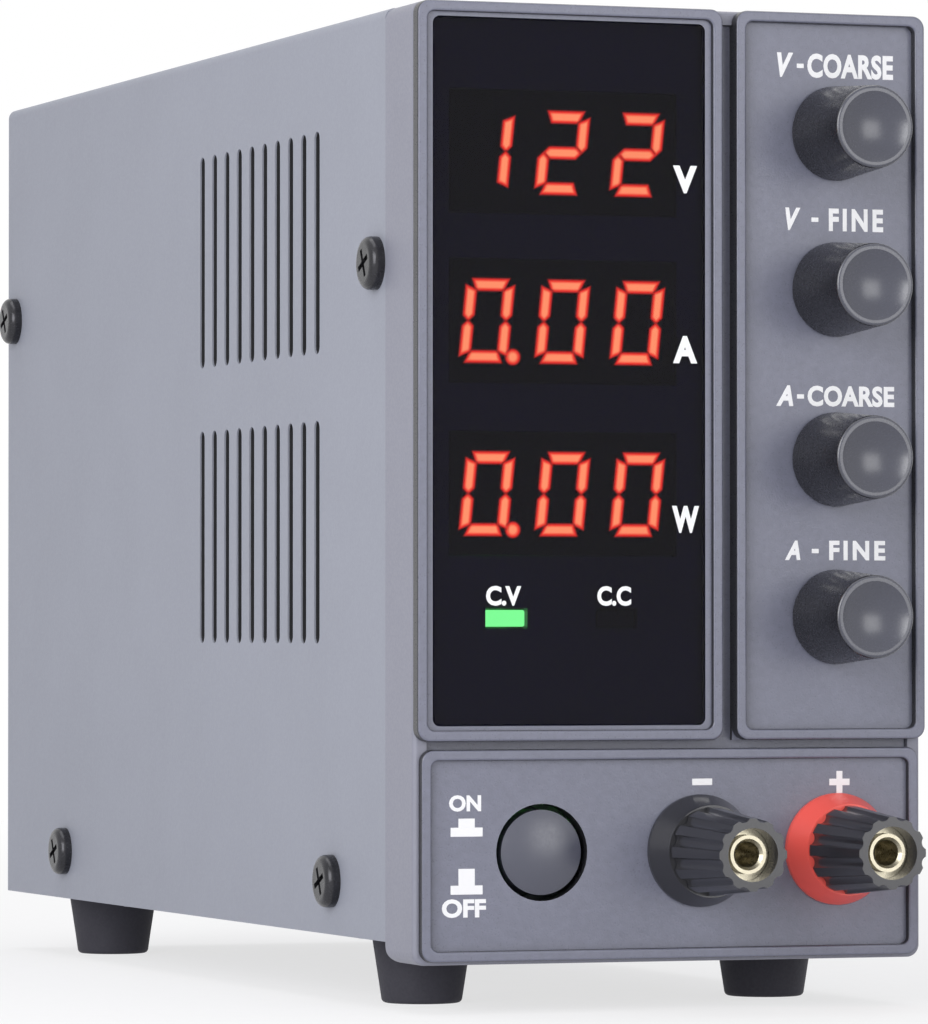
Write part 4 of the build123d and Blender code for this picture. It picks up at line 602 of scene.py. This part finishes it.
@dataclass
class DisplayWindow:
    """Smoked sheet in front of the display modules."""

    back_gap: float = 0.2
    corner: float = 1.1
    edge: float = 0.15
    glass: SmokedGlass = SmokedGlass("window_sheet", (0.06, 0.05, 0.13), 0.02, rough_swing=0.0, depth=0.0,
                                     specular=0.05)

    def build(self, shop: Workshop) -> None:
        """Make the sheet and let it stand for the plain window.

        Args:
            shop: Where the piece is made.
        """
        low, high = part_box("display_window")
        datum = shop.datum
        x = (low.x / MM, high.x / MM)
        up = ((low.z - datum.bottom_z) / MM, (high.z - datum.bottom_z) / MM)
        depth = ((low.y - datum.lip_y) / MM, (high.y - datum.lip_y) / MM - self.back_gap)
        sheet = shop.rounded_plate("smoked_sheet", x, up, depth, self.corner, self.edge)
        shop.mount(sheet, self.glass.material())
        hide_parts("display_window")


@dataclass
class DigitRows:
    """Lit seven-segment digits on the faces of the three display modules."""

    readings: tuple[tuple[str, str, float], ...] = (
        ("volts", "122", 126.9),
        ("amperes", "0.00", 100.4),
        ("watts", "0.00", 73.4),
    )
    light: LitSegment = LitSegment("lit_red", core=(1.0, 0.32, 0.06), rim=(0.8, 0.028, 0.008),
                                   outside=(0.012, 0.001, 0.0005), strength=17.0)
    height: float = 12.7
    width: float = 7.7
    stroke: float = 1.45
    corner_share: float = 0.6
    pitch: float = 12.6
    slant: float = 0.105
    gap: float = 0.22
    halo: float = 0.4
    core_share: float = 0.55
    point_radius: float = 1.0
    point_core: float = 0.45
    point_steps: int = 24
    point_offset: float = 1.1
    face_gap: float = 0.02
    segments: dict[str, str] = field(default_factory=lambda: {
        "0": "abcdef", "1": "bc", "2": "abged",
    })

    def outlines(self) -> dict[str, list[Point]]:
        """Outline of each segment about the digit's middle, upright, with mitred corners."""
        w, h, s, g = self.width / 2, self.height / 2, self.stroke, self.gap
        knee, cut = s / 2 + g, s * self.corner_share
        upper_left = [(-w, h - cut - g), (-w, knee), (-w + s / 2, g), (-w + s, knee), (-w + s, h - s - g)]
        top = [(-w + cut + g, h), (-w + s + g, h - s), (w - s - g, h - s), (w - cut - g, h)]
        bar = [(-w + s / 2 + g, 0.0), (-w + s + g, -s / 2), (w - s - g, -s / 2)]
        return {
            "a": top,
            "b": mirrored(upper_left, -1, 1),
            "c": mirrored(upper_left, -1, -1),
            "d": mirrored(top, 1, -1),
            "e": mirrored(upper_left, 1, -1),
            "f": upper_left,
            "g": bar + mirrored(bar, -1, -1, turn=False),
        }

    def build(self, shop: Workshop) -> None:
        """Make one lit piece for each module.

        Args:
            shop: Where the pieces are made.
        """
        finish = self.light.material()
        low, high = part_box("digit_modules")
        middle_x = (low.x + high.x) / 2 / MM
        depth = (low.y - shop.datum.lip_y) / MM - self.face_gap
        outlines = self.outlines()
        for name, reading, up in self.readings:
            mesh = bmesh.new()
            layer = mesh.verts.layers.float.new(GLOW)
            place = 0
            for sign in reading:
                if sign == ".":
                    corner = self.width / 2 + self.point_offset - self.slant * self.height / 2
                    x = middle_x + (place - 2) * self.pitch + corner
                    self.add_point(shop, mesh, layer, x, up - self.height / 2 + self.stroke / 2, depth)
                    continue
                x = middle_x + (place - 1) * self.pitch
                for segment in self.segments[sign]:
                    self.add_segment(shop, mesh, layer, outlines[segment], (x, up), depth)
                place += 1
            piece = shop.mesh_piece(f"reading_{name}", mesh)
            shop.mount(piece, finish)

    def add_segment(self, shop: Workshop, mesh: bmesh.types.BMesh, layer: object, outline: Sequence[Point],
                    middle: Point, depth: float) -> None:
        """Add one segment as a core inside a rim inside a halo.

        Args:
            shop: Where the piece is made.
            mesh: The mesh to add to.
            layer: The layer that holds the glow.
            outline: The segment's corners about the digit's middle.
            middle: The digit's middle.
            depth: Depth of the segment's plane.
        """
        rings = []
        for offset, glow in ((-self.stroke * self.core_share / 2, 1.0), (0.0, RIM_GLOW), (self.halo, 0.0)):
            ring = []
            for x, z in offset_outline(outline, offset):
                corner = mesh.verts.new(shop.datum.at(middle[0] + x + self.slant * z, middle[1] + z, depth))
                corner[layer] = glow
                ring.append(corner)
            rings.append(ring)
        self.close_rings(mesh, rings)

    def add_point(self, shop: Workshop, mesh: bmesh.types.BMesh, layer: object, x: float, up: float,
                  depth: float) -> None:
        """Add one round decimal point.

        Args:
            shop: Where the piece is made.
            mesh: The mesh to add to.
            layer: The layer that holds the glow.
            x: The point's middle across the front.
            up: The point's middle height.
            depth: Depth of the point's plane.
        """
        size = self.point_radius
        rings = []
        for radius, glow in ((size * self.point_core, 1.0), (size, RIM_GLOW), (size + self.halo, 0.0)):
            ring = []
            for step in range(self.point_steps):
                turn = 2 * math.pi * step / self.point_steps
                across, rise = radius * math.cos(turn), radius * math.sin(turn)
                corner = mesh.verts.new(shop.datum.at(x + across, up + rise, depth))
                corner[layer] = glow
                ring.append(corner)
            rings.append(ring)
        self.close_rings(mesh, rings)

    @staticmethod
    def close_rings(mesh: bmesh.types.BMesh, rings: Sequence[Sequence[bmesh.types.BMVert]]) -> None:
        """Fill the innermost ring and the strips between the rings.

        Args:
            mesh: The mesh to add to.
            rings: Rings of corners, innermost first.
        """
        mesh.faces.new(rings[0])
        for inner, outer in zip(rings, rings[1:]):
            for index in range(len(inner)):
                follow = (index + 1) % len(inner)
                mesh.faces.new((inner[index], outer[index], outer[follow], inner[follow]))


def mirrored(outline: Sequence[Point], across: int, upright: int, turn: bool = True) -> list[Point]:
    """Outline mirrored about the digit's middle lines, still anticlockwise.

    Args:
        outline: Corners, anticlockwise.
        across: Minus one to mirror left to right.
        upright: Minus one to mirror top to bottom.
        turn: Whether one mirroring reverses the order of the corners.

    Returns:
        The mirrored corners.
    """
    moved = [(x * across, z * upright) for x, z in outline]
    return moved[::-1] if turn and across * upright < 0 else moved


def offset_outline(outline: Sequence[Point], offset: float) -> list[Point]:
    """Convex outline grown or shrunk by a distance.

    Args:
        outline: Corners, anticlockwise.
        offset: Distance outward, negative to shrink.

    Returns:
        The moved corners.
    """
    moved = []
    count = len(outline)
    for index, corner in enumerate(outline):
        before, after = Vector(outline[index - 1]), Vector(outline[(index + 1) % count])
        here = Vector(corner)
        first, second = (here - before).normalized(), (after - here).normalized()
        outward_first, outward_second = Vector((first.y, -first.x)), Vector((second.y, -second.x))
        bisector = (outward_first + outward_second).normalized()
        reach = offset / max(SHARPEST_CORNER, bisector.dot(outward_first))
        moved.append(tuple(here + bisector * reach))
    return moved


@dataclass
class IndicatorLenses:
    """Lit green lens on the left and unlit lens on the right."""

    places: tuple[float, float] = (-27.3, -8.9)
    up: float = 53.95
    width: float = 6.4
    height: float = 2.6
    corner: float = 0.35
    edge: float = 0.2
    glow: float = 0.75
    light: LitSegment = LitSegment("lit_green", core=(0.22, 1.0, 0.14), rim=(0.1, 0.9, 0.08),
                                   outside=(0.01, 0.05, 0.01), strength=20.0)
    dark: Finish = Finish("unlit_lens_dark", (0.03, 0.035, 0.03), 0.3)

    def build(self, shop: Workshop) -> None:
        """Make both lenses and let them stand for the plain pair.

        Args:
            shop: Where the pieces are made.
        """
        low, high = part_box("indicators")
        depth = ((low.y - shop.datum.lip_y) / MM, (high.y - shop.datum.lip_y) / MM)
        up = (self.up - self.height / 2, self.up + self.height / 2)
        for name, x, finish in (("lit", self.places[0], self.light), ("unlit", self.places[1], self.dark)):
            limits = (x - self.width / 2, x + self.width / 2)
            lens = shop.rounded_plate(f"lens_{name}", limits, up, depth, self.corner, self.edge)
            glow = lens.data.attributes.new(GLOW, "FLOAT", "POINT")
            for corner in glow.data:
                corner.value = self.glow
            shop.mount(lens, finish.material())
            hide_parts("indicators")


@dataclass(frozen=True)
class Word:
    """One printed word and the box that its letters fill."""

    name: str
    text: str
    x: Point
    up: Point
    depth: float
    lean: float = 0.0
    weight: float = 0.04
    spacing: float = 1.0


@dataclass
class PrintedMarks:
    """Function words, units and switch signs printed on the front."""

    film: float = 0.02
    corner: float = 0.05
    letter_share: float = 0.7
    curve_steps: int = 4
    ink: Finish = Finish("white_ink", (0.86, 0.86, 0.88), 0.5, uneven=0.03, depth=0.000002)
    words: tuple[Word, ...] = (
        Word("v_coarse_letter", "V", (18.0, 20.8), (139.8, 143.7), 1.5, 0.25, 0.045),
        Word("v_coarse", "COARSE", (23.2, 38.05), (139.8, 143.7), 1.5, spacing=1.05),
        Word("v_fine_letter", "V", (19.4, 22.0), (115.5, 119.1), 1.5, 0.25, 0.045),
        Word("v_fine", "FINE", (26.9, 36.3), (115.5, 119.1), 1.5, spacing=1.3),
        Word("a_coarse_letter", "A", (17.8, 20.75), (87.6, 90.9), 1.5, 0.25, 0.045),
        Word("a_coarse", "COARSE", (23.2, 38.2), (87.6, 90.9), 1.5, spacing=1.05),
        Word("a_fine_letter", "A", (19.3, 21.95), (63.2, 66.3), 1.5, 0.25, 0.045),
        Word("a_fine", "FINE", (26.9, 36.6), (63.2, 66.3), 1.5, spacing=1.3),
        Word("constant_volts", "C.V", (-31.35, -25.5), (55.9, 59.0), 0.9),
        Word("constant_amperes", "C.C", (-12.8, -7.1), (55.9, 59.0), 0.9),
        Word("unit_volts", "V", (0.0, 4.1), (120.9, 125.25), 0.9, weight=0.05),
        Word("unit_amperes", "A", (0.0, 4.1), (94.1, 98.4), 0.9, weight=0.05),
        Word("unit_watts", "W", (-0.2, 4.4), (67.4, 71.65), 0.9, weight=0.05),
        Word("switch_on", "ON", (-37.1, -31.8), (23.9, 26.45), 1.9),
        Word("switch_off", "OFF", (-38.3, -31.0), (7.4, 10.3), 1.9),
    )
    bars: dict[str, tuple[Point, Point, float]] = field(default_factory=lambda: {
        "v_coarse_dash": ((21.4, 22.6), (141.3, 142.0), 1.5),
        "v_fine_dash": ((23.9, 25.1), (116.9, 117.6), 1.5),
        "a_coarse_dash": ((21.4, 22.6), (88.8, 89.5), 1.5),
        "a_fine_dash": ((23.9, 25.1), (64.3, 65.0), 1.5),
        "on_base": ((-36.85, -31.55), (20.0, 21.4), 1.9),
        "on_stub": ((-35.55, -32.85), (21.4, 22.8), 1.9),
        "off_base": ((-36.85, -31.55), (11.0, 12.4), 1.9),
        "off_stub": ((-35.55, -32.85), (12.4, 15.0), 1.9),
        "minus": ((3.6, 7.0), (27.68, 28.72), 1.9),
        "plus_across": ((27.05, 30.55), (27.48, 28.52), 1.9),
        "plus_upper": ((28.28, 29.32), (28.52, 29.75), 1.9),
        "plus_lower": ((28.28, 29.32), (26.25, 27.48), 1.9),
    })

    def build(self, shop: Workshop) -> None:
        """Print every word and sign.

        Args:
            shop: Where the pieces are made.
        """
        ink = self.ink.material()
        for word in self.words:
            shop.mount(self.letters(shop, word), ink)
        for name, (x, up, depth) in self.bars.items():
            planes = (depth - self.film, depth)
            mark = shop.rounded_plate(f"mark_{name}", x, up, planes, self.corner, self.film / 2)
            shop.mount(mark, ink)

    def letters(self, shop: Workshop, word: Word) -> bpy.types.Object:
        """Letters stretched to their box.

        Args:
            shop: Where the piece is made.
            word: The word to print.

        Returns:
            The text object in place.
        """
        curve = bpy.data.curves.new(f"word_{word.name}", "FONT")
        curve.body = word.text
        curve.size = (word.up[1] - word.up[0]) * MM / self.letter_share
        curve.space_character = word.spacing
        curve.shear = word.lean
        curve.offset = word.weight * curve.size
        curve.extrude = self.film * MM / 2
        curve.resolution_u = self.curve_steps
        piece = bpy.data.objects.new(f"word_{word.name}", curve)
        bpy.context.scene.collection.objects.link(piece)
        bpy.context.view_layer.update()
        corners = [Vector(corner) for corner in piece.bound_box]
        low = Vector((min(c.x for c in corners), min(c.y for c in corners), 0.0))
        high = Vector((max(c.x for c in corners), max(c.y for c in corners), 0.0))
        wide = (word.x[1] - word.x[0]) * MM / (high.x - low.x)
        tall = (word.up[1] - word.up[0]) * MM / (high.y - low.y)
        stand = Matrix.Rotation(math.radians(90), 4, "X")
        start = shop.datum.at(word.x[0], word.up[0], word.depth - self.film / 2)
        fit = Matrix.Diagonal((wide, tall, 1.0, 1.0)) @ Matrix.Translation(-low)
        piece.matrix_world = Matrix.Translation(start) @ stand @ fit
        return piece


@dataclass
class Lamp:
    """One soft rectangular lamp that looks at the supply."""

    name: str
    place: tuple[float, float, float]
    size: tuple[float, float]
    power: float

    def build(self, target: Vector) -> None:
        """Hang the lamp.

        Args:
            target: The point it looks at.
        """
        light = bpy.data.lights.new(self.name, "AREA")
        light.shape = "RECTANGLE"
        light.size, light.size_y = self.size
        light.energy = self.power
        lamp = bpy.data.objects.new(self.name, light)
        bpy.context.scene.collection.objects.link(lamp)
        lamp.location = self.place
        lamp.rotation_euler = (target - Vector(self.place)).to_track_quat("-Z", "Y").to_euler()


@dataclass
class Studio:
    """White floor and background, lamps, and the camera at the photograph's viewing angle."""

    camera_place: tuple[float, float, float] = (-0.379376, -1.053896, 0.059719)
    yaw: float = 19.9639
    pitch: float = 1.0417
    lens: float = 228.19
    sensor: float = 36.0
    clip: tuple[float, float] = (0.01, 50.0)
    floor_size: float = 12.0
    fade: tuple[float, float] = (0.12, 0.9)
    near_white: float = 0.7
    ambient: float = 0.36
    paper: tuple[Colour, Colour] = (shade(232, 232, 237), shade(236, 236, 241))
    paper_grain: float = 300.0
    paper_roughness: float = 0.9
    aim: tuple[float, float, float] = (0.0, 0.0, 0.07)
    lamps: tuple[Lamp, ...] = (
        Lamp("key_left", (-0.75, -0.7, 0.4), (0.7, 0.7), 7.5),
        Lamp("front_fill", (0.62, -1.45, 0.3), (0.8, 0.8), 5.0),
        Lamp("top_soft", (0.0, 0.1, 1.3), (1.2, 1.2), 8.0),
    )

    def build(self) -> None:
        """Set up everything around the supply."""
        self.stand_camera()
        self.lay_floor()
        self.wrap_world()
        for lamp in self.lamps:
            lamp.build(Vector(self.aim))
        bpy.context.scene.view_settings.view_transform = "Standard"
        LOG.info("studio ready with %d lamps", len(self.lamps))

    def stand_camera(self) -> None:
        """Place the camera."""
        data = bpy.data.cameras.new("camera")
        data.sensor_width = self.sensor
        data.lens = self.lens
        data.clip_start, data.clip_end = self.clip
        camera = bpy.data.objects.new("camera", data)
        bpy.context.scene.collection.objects.link(camera)
        yaw, pitch = math.radians(self.yaw), math.radians(self.pitch)
        look = Vector((math.sin(yaw) * math.cos(pitch), math.cos(yaw) * math.cos(pitch), math.sin(pitch)))
        camera.location = self.camera_place
        camera.rotation_euler = look.to_track_quat("-Z", "Y").to_euler()
        bpy.context.scene.camera = camera

    @staticmethod
    def seen_directly(tree: bpy.types.NodeTree) -> bpy.types.NodeSocket:
        """Socket that is one for rays from the camera, from gloss and through clear sheets.

        Args:
            tree: The node tree to add to.

        Returns:
            The socket.
        """
        path = tree.nodes.new("ShaderNodeLightPath")
        first = tree.nodes.new("ShaderNodeMath")
        first.operation = "MAXIMUM"
        second = tree.nodes.new("ShaderNodeMath")
        second.operation = "MAXIMUM"
        tree.links.new(path.outputs["Is Camera Ray"], first.inputs[0])
        tree.links.new(path.outputs["Is Glossy Ray"], first.inputs[1])
        tree.links.new(first.outputs[0], second.inputs[0])
        tree.links.new(path.outputs["Is Transmission Ray"], second.inputs[1])
        return second.outputs[0]

    def lay_floor(self) -> None:
        """Lay the floor, which fades into the white background away from the supply."""
        mesh = bmesh.new()
        half = self.floor_size / 2
        outline = ((-half, -half), (half, -half), (half, half), (-half, half))
        mesh.faces.new([mesh.verts.new((x, y, 0.0)) for x, y in outline])
        data = bpy.data.meshes.new("floor")
        mesh.to_mesh(data)
        mesh.free()
        floor = bpy.data.objects.new("floor", data)
        bpy.context.scene.collection.objects.link(floor)
        bench = ShaderBench("floor_paper")
        length = bench.node("ShaderNodeVectorMath", operation="LENGTH")
        bench.link(bench.place.outputs["Object"], length.inputs[0])
        far = bench.spread(length.outputs["Value"], self.near_white, 1.0, *self.fade)
        share = bench.node("ShaderNodeMath", operation="MULTIPLY")
        bench.link(far, share.inputs[0])
        bench.link(self.seen_directly(bench.tree), share.inputs[1])
        fibre = bench.noise(self.paper_grain)
        paper = bench.blend(bench.spread(fibre, 0.0, 1.0), *self.paper)
        bench.link(paper, bench.shader.inputs["Base Color"])
        bench.shader.inputs["Roughness"].default_value = self.paper_roughness
        white = bench.node("ShaderNodeEmission")
        mix = bench.node("ShaderNodeMixShader")
        bench.link(share.outputs[0], mix.inputs["Fac"])
        bench.link(bench.shader.outputs["BSDF"], mix.inputs[1])
        bench.link(white.outputs["Emission"], mix.inputs[2])
        bench.link(mix.outputs["Shader"], bench.output.inputs["Surface"])
        data.materials.append(bench.material)

    def wrap_world(self) -> None:
        """White background that lights the supply at a plain level."""
        world = bpy.data.worlds.new("studio_white")
        world.use_nodes = True
        bpy.context.scene.world = world
        tree = world.node_tree
        level = tree.nodes.new("ShaderNodeMapRange")
        level.inputs["To Min"].default_value = self.ambient
        level.inputs["To Max"].default_value = 1.0
        tree.links.new(self.seen_directly(tree), level.inputs["Value"])
        background = tree.nodes["Background"]
        background.inputs["Color"].default_value = (1.0, 1.0, 1.0, 1.0)
        tree.links.new(level.outputs["Result"], background.inputs["Strength"])


def main() -> None:
    """Build the studio, dress the frame and add the pieces made here."""
    logging.basicConfig(level=logging.INFO, format="%(name)s: %(message)s")
    shop = Workshop(FrontDatum.from_frame())
    CadFinishes().dress()
    DisplayWindow().build(shop)
    DigitRows().build(shop)
    IndicatorLenses().build(shop)
    PrintedMarks().build(shop)
    Studio().build()


if __name__ == "__main__":
    main()
